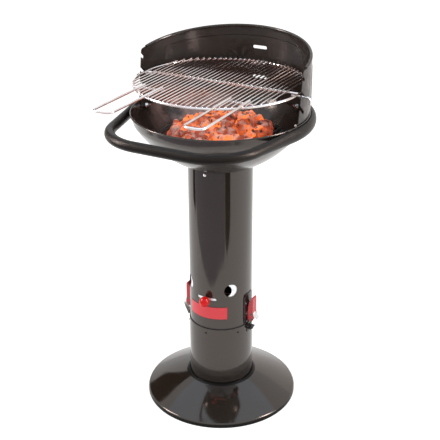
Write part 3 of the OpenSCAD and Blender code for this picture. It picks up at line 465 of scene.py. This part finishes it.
SPANGLE_DARK = (0.62, 0.63, 0.65, 1)
SPANGLE_PALE = (0.86, 0.87, 0.89, 1)
galvanised, zinc_tree, zinc_shader = new_material("galvanised_sheet")
spangle = grey_cells(zinc_tree, scale=140)
fill_inputs(zinc_tree, zinc_shader, {
    "Base Color": colour_mix(zinc_tree, spangle, SPANGLE_DARK, SPANGLE_PALE),
    "Roughness": between(zinc_tree, spangle, 0.0, 1.0, 0.26, 0.46), "Metallic": 1.0})
add_bump(zinc_tree, zinc_shader, speckle(zinc_tree, scale=260, detail=2), depth=0.00003)
dressed("ash_pot_guide", "pot_ring", "root", galvanised)

RUBBER_DARK = (0.004, 0.004, 0.004, 1)
RUBBER_DUSTY = (0.012, 0.012, 0.012, 1)
seal_rubber, rubber_tree, rubber_shader = new_material("seal_rubber")
dust = speckle(rubber_tree, scale=220, detail=4)
fill_inputs(rubber_tree, rubber_shader, {
    "Base Color": colour_mix(rubber_tree, dust, RUBBER_DARK, RUBBER_DUSTY), "Roughness": 0.62})
add_bump(rubber_tree, rubber_shader, speckle(rubber_tree, scale=700, detail=3), depth=0.00008)
dressed("seam_seal", "pot_seal", "root", seal_rubber)

# The column
# A rolled and welded tube of enamelled sheet, with four air holes and the slot of the damper's
# knob. Three dome-headed bolts at its top hold the bowl's neck.
dressed("column_tube", "column", "root", column_enamel)
dressed("neck_bolts", "column_bolts", "root", zinc)
dressed("neck_nuts", "column_nuts", "root", zinc)

# The damper
# An open band of galvanised spring sheet inside the column. Turning it by the red ball covers or
# clears the air holes.
dressed("damper_band", "damper_ring", "damper", galvanised)
dressed("damper_shaft", "damper_stem", "damper", zinc)


def moulded(name, colour, roughness, more=None):
    """Moulded or lacquered plastic with a soft depth of colour and a fine texture."""
    made, tree, shader = new_material(name)
    patches = speckle(tree, scale=300, detail=3)
    fill_inputs(tree, shader, {
        "Base Color": mottled(tree, colour, scale=90, detail=3), "Coat Roughness": 0.04,
        "Roughness": between(tree, patches, *SPECKLE_SPAN, roughness * 0.8, roughness * 1.25),
        **(more or {})})
    add_bump(tree, shader, speckle(tree, scale=1200, detail=2), depth=0.00001)
    return made


red_ball = moulded("red_ball", (0.92, 0.006, 0.006), roughness=0.2,
                   more={"Coat Weight": 0.2, "Specular IOR Level": 0.15})
dressed("damper_ball", "damper_knob", "damper", red_ball)

# The label plate
# A bare red plate, 0.7 mm thick, curved to the column under the knob. A fine darker line of
# painted shade runs round its edge.
PLATE_RED = (0.86, 0.045, 0.062, 1)
PLATE_EDGE_SHADE = (0.4, 0.012, 0.02, 1)
PLATE_SHADE_IN = 0.0013
PLATE_SHADE_BLUR = 0.0003


def coordinates(tree):
    """The place on the object as three sockets: X, Y and Z."""
    return add_node(tree, "ShaderNodeSeparateXYZ", {0: in_metres(tree)}).outputs


def from_middle(tree, value, middle):
    """The distance of a coordinate from a middle value."""
    return calc(tree, "ABSOLUTE", calc(tree, "SUBTRACT", value, middle))


plate_red, plate_tree, plate_shader = new_material("plate_red")
plate_low, plate_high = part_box("label_plate")
plate_middle = (plate_low.z + plate_high.z) / 2
edge_z = (plate_high.z - plate_low.z) / 2 - PLATE_SHADE_IN
edge_x = (plate_high.x - plate_low.x) / 2 - PLATE_SHADE_IN
on_plate = coordinates(plate_tree)
off_z = from_middle(plate_tree, on_plate[2], plate_middle)
off_x = from_middle(plate_tree, on_plate[0], axis_x)
# A darker red is painted along the plate's edge as shade.
in_edge_shade = calc(plate_tree, "MAXIMUM",
                 between(plate_tree, off_z, edge_z, edge_z + PLATE_SHADE_BLUR),
                 between(plate_tree, off_x, edge_x, edge_x + PLATE_SHADE_BLUR))
fill_inputs(plate_tree, plate_shader, {
    "Base Color": colour_mix(plate_tree, in_edge_shade, PLATE_RED, PLATE_EDGE_SHADE), "Roughness": 0.32})
add_bump(plate_tree, plate_shader, speckle(plate_tree, scale=500, detail=2), depth=0.00002)
dressed("name_plate_bare", "label_plate", "root", plate_red)

# The latches
# On each side a pressed black base is riveted to the column. A red lever turns on a pin in its
# ears and pulls a bent steel hook up under a catch on the pot.
LEVER_CREASE = 25
latch_black = moulded("latch_black", (0.02, 0.014, 0.013), roughness=0.3)
lever_red = moulded("lever_red", (0.68, 0.02, 0.03), roughness=0.24, more={"Coat Weight": 0.2})
bright_steel = plain_steel("bright_steel", (0.84, 0.84, 0.83), roughness=0.2)
dark_steel = plain_steel("dark_steel", (0.16, 0.15, 0.145), roughness=0.4)
for hand in ("right", "left"):
    dressed("latch_plate_" + hand, "latch_base_" + hand, "root", latch_black)
    dressed("latch_axle_" + hand, "latch_pin_" + hand, "root", dark_steel)
    dressed("latch_handle_" + hand, "latch_lever_" + hand, "lever_" + hand, lever_red,
            LEVER_CREASE)
    dressed("hook_axle_" + hand, "hook_pin_" + hand, "lever_" + hand, dark_steel)
    dressed("latch_claw_" + hand, "latch_hook_" + hand, "hook_" + hand, bright_steel)
    dressed("latch_lip_" + hand, "latch_catch_" + hand, "root", latch_black)
dressed("latch_rivet_heads", "latch_rivets", "root", dark_steel)

# The bowl
# One pressed sheet with a rolled rim, enamelled like the column. Heat and ash leave a pale bloom
# on its inside, by the fire at the back left.
BLOOM = (0.38, 0.27, 0.25, 1)
BLOOM_AZIMUTH = 233
BLOOM_REACH = 0.16
BLOOM_UNDER_RIM = 0.04
BLOOM_FULL = 0.05
BLOOM_END = 0.15

bowl_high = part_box("bowl")[1]
bowl_enamel = enamel("bowl_enamel", haze=0.15, peel=0.00001)
bowl_tree = bowl_enamel.node_tree
bowl_shader = bowl_tree.nodes["Principled BSDF"]
fire_wall = around(BLOOM_AZIMUTH, BLOOM_REACH, bowl_high.z - BLOOM_UNDER_RIM)
off_wall = add_node(bowl_tree, "ShaderNodeVectorMath", {0: in_metres(bowl_tree), 1: fire_wall},
                    operation="DISTANCE").outputs["Value"]
near_fire = between(bowl_tree, off_wall, BLOOM_FULL, BLOOM_END, 1.0, 0.0)
outward = add_node(bowl_tree, "ShaderNodeNewGeometry").outputs["True Normal"]
upward = add_node(bowl_tree, "ShaderNodeSeparateXYZ", {0: outward}).outputs[2]
facing_up = between(bowl_tree, upward, 0.05, 0.3)
smoke = between(bowl_tree, speckle(bowl_tree, scale=13, detail=5, roughness=0.55), 0.3, 0.62)
bloom = calc(bowl_tree, "MULTIPLY", calc(bowl_tree, "MULTIPLY", facing_up, near_fire), smoke)
clean_enamel = bowl_shader.inputs["Base Color"].links[0].from_socket
fill_inputs(bowl_tree, bowl_shader, {"Base Color": colour_mix(bowl_tree, bloom, clean_enamel, BLOOM)})
dressed("bowl_shell", "bowl", "root", bowl_enamel)

# The windshield
# A half-round sheet that nests in the bowl's band, with a rolled bead on top, three notches in
# each front edge and three slots in the back. Its panel is pressed out by 0.85 mm, and a bump in
# the enamel widens the fold round it.
PANEL_HALF = 68.3
PANEL_CORNER = 0.018
PANEL_UNDER_TOP = 0.0285
PANEL_BASE = 0.013
FOLD_HALF = 0.0013
FOLD_DEPTH = 0.0028
SHIELD_TILT = 8.6
SHIELD_CREASE = 30

shield_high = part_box("windshield")[1]
sheet_r = shield_high.y - axis_y
shield_enamel = enamel("shield_enamel", haze=0.4, peel=0.0,
                       more={"IOR": 1.3, "Coat Weight": 0.38, "Coat Roughness": 0.07})
shield_tree = shield_enamel.node_tree

# The distance outside the panel, whose corners are round, places the fold.
on_shield = coordinates(shield_tree)
off_back = calc(shield_tree, "SUBTRACT", on_shield[1], axis_y)
from_back = calc(shield_tree, "ARCTAN2", from_middle(shield_tree, on_shield[0], axis_x), off_back)
past_turn = calc(shield_tree, "SUBTRACT", from_back, math.radians(PANEL_HALF))
past_side = calc(shield_tree, "MULTIPLY", past_turn, sheet_r)
over_top = calc(shield_tree, "SUBTRACT", on_shield[2], shield_high.z - PANEL_UNDER_TOP)
from_sheet = calc(shield_tree, "SUBTRACT", off_back, sheet_r)
tilt_cos, tilt_sin = math.cos(math.radians(SHIELD_TILT)), math.sin(math.radians(SHIELD_TILT))
past_top = calc(shield_tree, "SUBTRACT", calc(shield_tree, "MULTIPLY", over_top, tilt_cos),
                calc(shield_tree, "MULTIPLY", from_sheet, tilt_sin))
past_base = calc(shield_tree, "SUBTRACT", bowl_high.z + PANEL_BASE, on_shield[2])
squares = []
for past in (past_side, calc(shield_tree, "MAXIMUM", past_top, past_base)):
    inset = calc(shield_tree, "MAXIMUM", calc(shield_tree, "ADD", past, PANEL_CORNER), 0.0)
    squares.append(calc(shield_tree, "MULTIPLY", inset, inset))
off_corner = calc(shield_tree, "SQRT", calc(shield_tree, "ADD", *squares))
off_panel = calc(shield_tree, "SUBTRACT", off_corner, PANEL_CORNER)
add_bump(shield_tree, shield_tree.nodes["Principled BSDF"],
         between(shield_tree, off_panel, -FOLD_HALF, FOLD_HALF), FOLD_DEPTH)
dressed("windshield_sheet", "windshield", "root", shield_enamel, SHIELD_CREASE)
dressed("shield_bolts", "side_bolts", "root", zinc)
dressed("shield_wing_nuts", "wing_nuts", "root", zinc)

# The handle
# A bent steel tube round the front of the bowl, powder-coated in satin black, with a plastic plug
# in each end. It is pressed flat where it lies beside the bowl.
HANDLE_HALF = 0.072
HANDLE_CORNER = 0.1227
HANDLE_END = 150
BEND_STEPS = 26
EASE_STEPS = 12
HUG_STEPS = 30
TUBE_D = 0.026
TUBE_SIDES = 48
PRESSED_WIDTH = 0.019

handle_low, handle_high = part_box("handle")
handle_z = (handle_high.z + handle_low.z) / 2
hug_r = (handle_high.x - handle_low.x) / 2 - PRESSED_WIDTH / 2
corner_y = HANDLE_CORNER - (axis_y - handle_low.y - TUBE_D / 2)
corner_turn = math.atan2(corner_y, HANDLE_HALF) + math.acos(
    (hug_r - HANDLE_CORNER) / math.hypot(HANDLE_HALF, corner_y))


def arc_points(centre_x, centre_y, radius, start, end, steps):
    """Points along a level arc, whose centre is measured from the column's axis."""
    turns = [start + (end - start) * i / steps for i in range(steps + 1)]
    return [(centre_x + radius * math.cos(a), centre_y + radius * math.sin(a)) for a in turns]


bend_path = arc_points(HANDLE_HALF, corner_y, HANDLE_CORNER, -math.pi / 2, corner_turn, BEND_STEPS)
hug_path = arc_points(0, 0, hug_r, corner_turn, math.radians(HANDLE_END - 90), HUG_STEPS)
ease_path = []
ease_press = []
for i in range(1, EASE_STEPS):
    share = i / EASE_STEPS
    ease_path.append(tuple(b + (h - b) * share for b, h in zip(bend_path[-1], hug_path[0])))
    ease_press.append((1 - math.cos(math.pi * share)) / 2)
half_path = bend_path + ease_path + hug_path
half_press = [0.0] * len(bend_path) + ease_press + [1.0] * len(hug_path)
tube_path = [(-x, y) for x, y in reversed(half_path)] + half_path
tube_points = [(axis_x + x, axis_y + y, handle_z) for x, y in tube_path]
handle_base = bpy.data.meshes.new("handle_path")
handle_base.from_pydata(tube_points, [(i, i + 1) for i in range(len(tube_points) - 1)], [])
pressed = handle_base.attributes.new("pressed", "FLOAT", "POINT")
pressed.data.foreach_set("value", half_press[::-1] + half_press)
middle = handle_base.attributes.new("middle", "FLOAT_VECTOR", "POINT")
middle.data.foreach_set("vector", [c for vertex in handle_base.vertices for c in vertex.co])


def new_tree(name, **inputs):
    """A tree that makes a mesh, its inputs and its output; each kind of input has its labels."""
    tree = bpy.data.node_groups.new(name, "GeometryNodeTree")
    for kind, labels in inputs.items():
        for label in labels:
            tree.interface.new_socket(name=label, in_out="INPUT", socket_type="NodeSocket" + kind)
    tree.interface.new_socket(name="Geometry", in_out="OUTPUT", socket_type="NodeSocketGeometry")
    return tree, tree.nodes.new("NodeGroupInput").outputs, tree.nodes.new("NodeGroupOutput").inputs


def end_tree(tree, shape, finish, out):
    """The end of a tree: its instances made real, and the finish put on."""
    real = add_node(tree, "GeometryNodeRealizeInstances", {"Geometry": shape})
    coated = add_node(tree, "GeometryNodeSetMaterial", {"Geometry": real.outputs[0], "Material": finish})
    tree.links.new(coated.outputs[0], out["Geometry"])


def grown(name, node, body, tree, base, values, crease=SMOOTH_CREASE):
    """The mesh that a tree makes on a base from its values, as a plain piece."""
    maker = bpy.data.objects.new(name + "_maker", base)
    scene.collection.objects.link(maker)
    modifier = maker.modifiers.new("maker", "NODES")
    modifier.node_group = tree
    for item in tree.interface.items_tree:
        if item.in_out == "INPUT" and item.name in values:
            modifier[item.identifier] = values[item.name]
    depsgraph = bpy.context.evaluated_depsgraph_get()
    mesh = bpy.data.meshes.new_from_object(maker.evaluated_get(depsgraph))
    maker.modifiers.remove(modifier)
    bpy.data.objects.remove(maker)
    mesh.name = name
    soften(mesh, crease)
    fitted(name, mesh, node, body)


# A round tube follows the path, and is then pressed flat where the path says.
tube_tree, tube_in, tube_out = new_tree(
    "bent_tube", Geometry=["Path"], Float=["Diameter", "Pressed Width", "Pressed Height"], Int=["Sides"],
    Material=["Finish"])
route = add_node(tube_tree, "GeometryNodeMeshToCurve", {"Mesh": tube_in["Path"]})
tube_r = calc(tube_tree, "MULTIPLY", tube_in["Diameter"], 0.5)
section = add_node(tube_tree, "GeometryNodeCurvePrimitiveCircle",
                   {"Resolution": tube_in["Sides"], "Radius": tube_r})
swept = add_node(tube_tree, "GeometryNodeCurveToMesh",
                 {"Curve": route.outputs[0], "Profile Curve": section.outputs[0], "Fill Caps": True})
press = add_node(tube_tree, "GeometryNodeInputNamedAttribute", {"Name": "pressed"}, data_type="FLOAT")
core = add_node(tube_tree, "GeometryNodeInputNamedAttribute", {"Name": "middle"}, data_type="FLOAT_VECTOR")
skin_point = add_node(tube_tree, "GeometryNodeInputPosition")
spoke = add_node(tube_tree, "ShaderNodeVectorMath", {0: skin_point.outputs[0], 1: core.outputs[0]},
                 operation="SUBTRACT")
ratios = []
for size in ("Pressed Width", "Pressed Height"):
    full = calc(tube_tree, "DIVIDE", tube_in[size], tube_in["Diameter"])
    part = calc(tube_tree, "MULTIPLY", calc(tube_tree, "SUBTRACT", full, 1.0), press.outputs[0])
    ratios.append(calc(tube_tree, "ADD", part, 1.0))
ratio = add_node(tube_tree, "ShaderNodeCombineXYZ", {"X": ratios[0], "Y": ratios[0], "Z": ratios[1]})
flattened = add_node(tube_tree, "ShaderNodeVectorMath",
                     {0: spoke.outputs[0], 1: ratio.outputs[0], 2: core.outputs[0]},
                     operation="MULTIPLY_ADD")
tube = add_node(tube_tree, "GeometryNodeSetPosition",
                {"Geometry": swept.outputs[0], "Position": flattened.outputs[0]})
end_tree(tube_tree, tube.outputs[0], tube_in["Finish"], tube_out)

satin_black = moulded("satin_black", (0.0085, 0.0072, 0.0062), roughness=0.38,
                      more={"Specular IOR Level": 0.2, "Specular Tint": (1.0, 0.88, 0.8, 1)})
grown("handle_tube", "handle", "root", tube_tree, handle_base, {
    "Diameter": TUBE_D, "Pressed Width": PRESSED_WIDTH, "Pressed Height": handle_high.z - handle_low.z,
    "Sides": TUBE_SIDES, "Finish": satin_black})
end_plug = moulded("end_plug", (0.012, 0.012, 0.012), roughness=0.5)
dressed("handle_plugs", "handle_caps", "root", end_plug)

# The fire
# Lumps of charcoal heaped on a welded grate. They glow, each with a heat of its own, between dark
# cracks and patches of grey ash.
dressed("fire_grate_ring", "grate_ring", "fire", dark_steel)
dressed("fire_grate_bars", "grate_bars", "fire", dark_steel)

# Each layer's share of the heap's height, and of its radius.
HEAP_LAYERS = ((0.3, 1.0), (0.72, 0.84), (1.0, 0.58))
HEAP_PEAK = (0.046, 0.025, 0.0)
HEAP_SHRINK = 0.013
HEAP_SLOPE = 0.8
HEAP_LEAST = 0.1
HEAP_SEED = 5
SIZE_SEED = 9
LUMP_SIZE = 0.038
LUMP_SPACING = 0.7
LUMP_SUNK = 0.45
LUMP_LEAST = (0.75, 0.6, 0.55)
LUMP_MOST = (1.25, 1.0, 0.85)
LUMP_CREASE = 28
# Facets to a metre, and their depth as a share of a lump.
LUMP_FACETS = ((32.0, 0.65), (95.0, 0.25))
LUMPS_PER_SQUARE_METRE = 9000.0

# Lumps are strewn on stacked discs and lifted towards the heap's peak, and then their faces are
# broken up.
heap_tree, heap_in, heap_out = new_tree(
    "charcoal_heap", Geometry=["Base"], Float=["Heap Radius", "Heap Height", "Floor", "Lump"],
    Vector=["Peak", "Axis"], Int=["Seed"], Material=["Finish"])
lump = add_node(heap_tree, "GeometryNodeMeshIcoSphere", {"Radius": 0.5, "Subdivisions": 4})
dot = add_node(heap_tree, "GeometryNodeInputPosition")
off_peak = add_node(heap_tree, "ShaderNodeVectorMath", {0: dot.outputs[0], 1: heap_in["Peak"]},
                    operation="SUBTRACT")
peak_gap = add_node(heap_tree, "ShaderNodeVectorMath", {0: off_peak.outputs[0]}, operation="LENGTH")
gap_share = calc(heap_tree, "DIVIDE", peak_gap.outputs["Value"], heap_in["Heap Radius"])
lower = calc(heap_tree, "SUBTRACT", 1.0, calc(heap_tree, "MULTIPLY", gap_share, HEAP_SLOPE))
fall = calc(heap_tree, "MAXIMUM", lower, HEAP_LEAST)
inner = calc(heap_tree, "SUBTRACT", heap_in["Heap Height"], heap_in["Lump"])
most_climb = calc(heap_tree, "MULTIPLY", inner, fall)
sunk = calc(heap_tree, "MULTIPLY", heap_in["Lump"], LUMP_SUNK)
heap = add_node(heap_tree, "GeometryNodeJoinGeometry")
for layer, (up_share, width) in enumerate(HEAP_LAYERS):
    disc_r = calc(heap_tree, "MULTIPLY", heap_in["Heap Radius"], width)
    disc = add_node(heap_tree, "GeometryNodeMeshCircle", {"Vertices": 40, "Radius": disc_r},
                    fill_type="NGON")
    dots = add_node(heap_tree, "GeometryNodeDistributePointsOnFaces",
                    {"Mesh": disc.outputs[0], "Density Max": LUMPS_PER_SQUARE_METRE,
                     "Distance Min": calc(heap_tree, "MULTIPLY", heap_in["Lump"], LUMP_SPACING),
                     "Seed": calc(heap_tree, "ADD", heap_in["Seed"], layer)},
                    distribute_method="POISSON")
    climb = calc(heap_tree, "MULTIPLY", most_climb, up_share)
    lump_z = calc(heap_tree, "ADD", calc(heap_tree, "ADD", climb, heap_in["Floor"]), sunk)
    lift = add_node(heap_tree, "ShaderNodeCombineXYZ", {"Z": lump_z})
    raised = add_node(heap_tree, "GeometryNodeSetPosition",
                      {"Geometry": dots.outputs[0], "Offset": lift.outputs[0]})
    tumbled = add_node(heap_tree, "FunctionNodeRandomValue",
                       {"Min": (0, 0, 0), "Max": (math.tau, math.tau, math.tau), "Seed": layer},
                       data_type="FLOAT_VECTOR")
    sized = add_node(heap_tree, "FunctionNodeRandomValue",
                     {"Min": LUMP_LEAST, "Max": LUMP_MOST, "Seed": layer + SIZE_SEED},
                     data_type="FLOAT_VECTOR")
    scaled = add_node(heap_tree, "ShaderNodeVectorMath", {0: sized.outputs[0], "Scale": heap_in["Lump"]},
                      operation="SCALE")
    lumps = add_node(heap_tree, "GeometryNodeInstanceOnPoints",
                     {"Points": raised.outputs[0], "Instance": lump.outputs[0],
                      "Rotation": tumbled.outputs[0], "Scale": scaled.outputs[0]})
    heap_tree.links.new(lumps.outputs[0], heap.inputs[0])
real_lumps = add_node(heap_tree, "GeometryNodeRealizeInstances", {"Geometry": heap.outputs[0]})
centred_heap = add_node(heap_tree, "GeometryNodeSetPosition",
                        {"Geometry": real_lumps.outputs[0], "Offset": heap_in["Axis"]})
skin = add_node(heap_tree, "GeometryNodeInputNormal")
broken = centred_heap.outputs[0]
for scale, depth in LUMP_FACETS:
    rough = add_node(heap_tree, "ShaderNodeTexNoise", {"Scale": scale, "Detail": 1.0})
    swing = calc(heap_tree, "SUBTRACT", rough.outputs[0], 0.5)
    lump_swing = calc(heap_tree, "MULTIPLY", swing, heap_in["Lump"])
    push = add_node(heap_tree, "ShaderNodeVectorMath",
                    {0: skin.outputs[0], "Scale": calc(heap_tree, "MULTIPLY", lump_swing, depth)},
                    operation="SCALE")
    broken = add_node(heap_tree, "GeometryNodeSetPosition",
                      {"Geometry": broken, "Offset": push.outputs[0]}).outputs[0]
end_tree(heap_tree, broken, heap_in["Finish"], heap_out)

EMBER_RED = (0.7, 0.08, 0.022, 1)
EMBER_ORANGE = (1.0, 0.2, 0.035, 1)
COAL_DARK = (0.06, 0.026, 0.02, 1)
COAL_ASH = (0.5, 0.33, 0.29, 1)

ember, ember_tree, ember_shader = new_material("ember")
warmth = calc(ember_tree, "ADD", grey_cells(ember_tree, scale=27), speckle(ember_tree, scale=22, detail=2))
heat = between(ember_tree, warmth, 0.68, 1.3)
ash = between(ember_tree, speckle(ember_tree, scale=62, detail=2), 0.46, 0.62)
cracks = between(ember_tree, speckle(ember_tree, scale=80, detail=2), 0.33, 0.47)
through_ash = between(ember_tree, ash, 0.0, 1.0, 1.0, 0.35)
open_glow = calc(ember_tree, "MULTIPLY", through_ash, cracks)
by_heat = between(ember_tree, heat, 0, 1, 0.4, 1.35)
fill_inputs(ember_tree, ember_shader, {
    "Base Color": colour_mix(ember_tree, ash, COAL_DARK, COAL_ASH), "Roughness": 0.85,
    "Emission Color": colour_mix(ember_tree, heat, EMBER_RED, EMBER_ORANGE),
    "Emission Strength": calc(ember_tree, "MULTIPLY", open_glow, by_heat)})
add_bump(ember_tree, ember_shader, speckle(ember_tree, scale=300, detail=5, roughness=0.7), depth=0.0009)

heap_low, heap_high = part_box("charcoal")
heap_r = (heap_high.x - heap_low.x) / 2 - HEAP_SHRINK
heap_base = bpy.data.meshes.new("heap_base")
grown("fire_lumps", "charcoal", "fire", heap_tree, heap_base, {
    "Heap Radius": heap_r, "Heap Height": heap_high.z - heap_low.z,
    "Floor": heap_low.z, "Lump": LUMP_SIZE, "Peak": HEAP_PEAK, "Axis": (axis_x, axis_y, 0.0),
    "Seed": HEAP_SEED, "Finish": ember}, LUMP_CREASE)

# The cooking grid
# Chromed steel wire, welded: a ring, thin bars across its top, a thick cross rod, two ears that
# hang in the windshield's notches, a loop at the back and two long handles.
BAR_PITCH = 0.0123
BAR_OVERLAP = 0.001
BAR_SIDES = 14
WELD_SHAPE = (1.35, 1.2, 0.7)
WELD_DROP = 0.95

bars_low, bars_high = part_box("grid_bars")
ring_low, ring_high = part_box("grid_ring")
wire_r = (ring_high.z - ring_low.z) / 2
bar_r = (bars_high.z - bars_low.z) / 2
bars_z = (bars_low.z + bars_high.z) / 2
hoop_r = (ring_high.x - ring_low.x) / 2 - wire_r
bars_each_side = round(((bars_high.x - bars_low.x) / 2 - bar_r) / BAR_PITCH)

# Each bar is as long as the ring is wide there, with a weld at each end and at the cross rod.
bars_tree, bars_in, bars_out = new_tree(
    "welded_bars", Geometry=["Base"], Float=["Hoop Radius", "Bar Radius", "Pitch", "Overlap", "Weld Drop"],
    Vector=["Centre"], Int=["Bars Each Side"], Material=["Finish"])
count = calc(bars_tree, "ADD", calc(bars_tree, "MULTIPLY", bars_in["Bars Each Side"], 2.0), 1.0)
half_row = calc(bars_tree, "MULTIPLY", bars_in["Bars Each Side"], bars_in["Pitch"])
first = add_node(bars_tree, "ShaderNodeCombineXYZ", {"X": calc(bars_tree, "MULTIPLY", half_row, -1.0)})
pitch = add_node(bars_tree, "ShaderNodeCombineXYZ", {"X": bars_in["Pitch"]})
row = add_node(bars_tree, "GeometryNodeMeshLine",
               {"Count": count, "Start Location": first.outputs[0], "Offset": pitch.outputs[0]},
               mode="OFFSET")
row_place = add_node(bars_tree, "GeometryNodeInputPosition")
row_x = add_node(bars_tree, "ShaderNodeSeparateXYZ", {0: row_place.outputs[0]}).outputs[0]
hoop_squared = calc(bars_tree, "MULTIPLY", bars_in["Hoop Radius"], bars_in["Hoop Radius"])
x_squared = calc(bars_tree, "MULTIPLY", row_x, row_x)
chord = calc(bars_tree, "SQRT", calc(bars_tree, "SUBTRACT", hoop_squared, x_squared))
straight = add_node(bars_tree, "GeometryNodeCurvePrimitiveLine", {"Start": (0, -1, 0), "End": (0, 1, 0)})
wire = add_node(bars_tree, "GeometryNodeCurvePrimitiveCircle",
                {"Resolution": BAR_SIDES, "Radius": bars_in["Bar Radius"]})
bar = add_node(bars_tree, "GeometryNodeCurveToMesh",
               {"Curve": straight.outputs[0], "Profile Curve": wire.outputs[0], "Fill Caps": True})
bar_reach = calc(bars_tree, "ADD", chord, bars_in["Overlap"])
bar_scale = add_node(bars_tree, "ShaderNodeCombineXYZ", {"X": 1.0, "Y": bar_reach, "Z": 1.0})
bars = add_node(bars_tree, "GeometryNodeInstanceOnPoints",
                {"Points": row.outputs[0], "Instance": bar.outputs[0], "Scale": bar_scale.outputs[0]})
nugget = add_node(bars_tree, "GeometryNodeMeshIcoSphere",
                  {"Radius": bars_in["Bar Radius"], "Subdivisions": 2})
joined = add_node(bars_tree, "GeometryNodeJoinGeometry", {0: bars.outputs[0]})
weld_z = calc(bars_tree, "MULTIPLY", bars_in["Weld Drop"], -1.0)
for side in (-1.0, 0.0, 1.0):
    weld_y = calc(bars_tree, "MULTIPLY", chord, side)
    shift = add_node(bars_tree, "ShaderNodeCombineXYZ", {"Y": weld_y, "Z": weld_z})
    ends = add_node(bars_tree, "GeometryNodeSetPosition",
                    {"Geometry": row.outputs[0], "Offset": shift.outputs[0]})
    welds = add_node(bars_tree, "GeometryNodeInstanceOnPoints",
                     {"Points": ends.outputs[0], "Instance": nugget.outputs[0], "Scale": WELD_SHAPE})
    bars_tree.links.new(welds.outputs[0], joined.inputs[0])
real_bars = add_node(bars_tree, "GeometryNodeRealizeInstances", {"Geometry": joined.outputs[0]})
centred_bars = add_node(bars_tree, "GeometryNodeSetPosition",
                        {"Geometry": real_bars.outputs[0], "Offset": bars_in["Centre"]})
end_tree(bars_tree, centred_bars.outputs[0], bars_in["Finish"], bars_out)

CHROME_CLEAN = (0.84, 0.79, 0.77, 1)
CHROME_HEATED = (0.72, 0.58, 0.53, 1)

chrome, chrome_tree, chrome_shader = new_material("chromed_wire")
heated = between(chrome_tree, speckle(chrome_tree, scale=14, detail=3), 0.35, 0.7)
dulled = speckle(chrome_tree, scale=70, detail=3)
fill_inputs(chrome_tree, chrome_shader, {
    "Base Color": colour_mix(chrome_tree, heated, CHROME_CLEAN, CHROME_HEATED), "Metallic": 1.0,
    "Roughness": between(chrome_tree, dulled, *SPECKLE_SPAN, 0.06, 0.16)})
bars_base = bpy.data.meshes.new("bars_base")
grown("grid_wires", "grid_bars", "cooking_grid", bars_tree, bars_base, {
    "Hoop Radius": hoop_r, "Bar Radius": bar_r, "Pitch": BAR_PITCH, "Overlap": BAR_OVERLAP,
    "Centre": (axis_x, axis_y, bars_z), "Weld Drop": bar_r * WELD_DROP,
    "Bars Each Side": bars_each_side, "Finish": chrome})
for piece_name, node_name in (
    ("grid_hoop", "grid_ring"), ("grid_cross", "grid_cross_rod"),
    ("grid_side_ears", "grid_ears"), ("grid_back_loop", "grid_rear_tab"),
    ("grid_handle_right", "grid_grip_right"), ("grid_handle_left", "grid_grip_left"),
    ("grid_handle_feet", "grid_grip_wires"),
):
    dressed(piece_name, node_name, "cooking_grid", chrome)
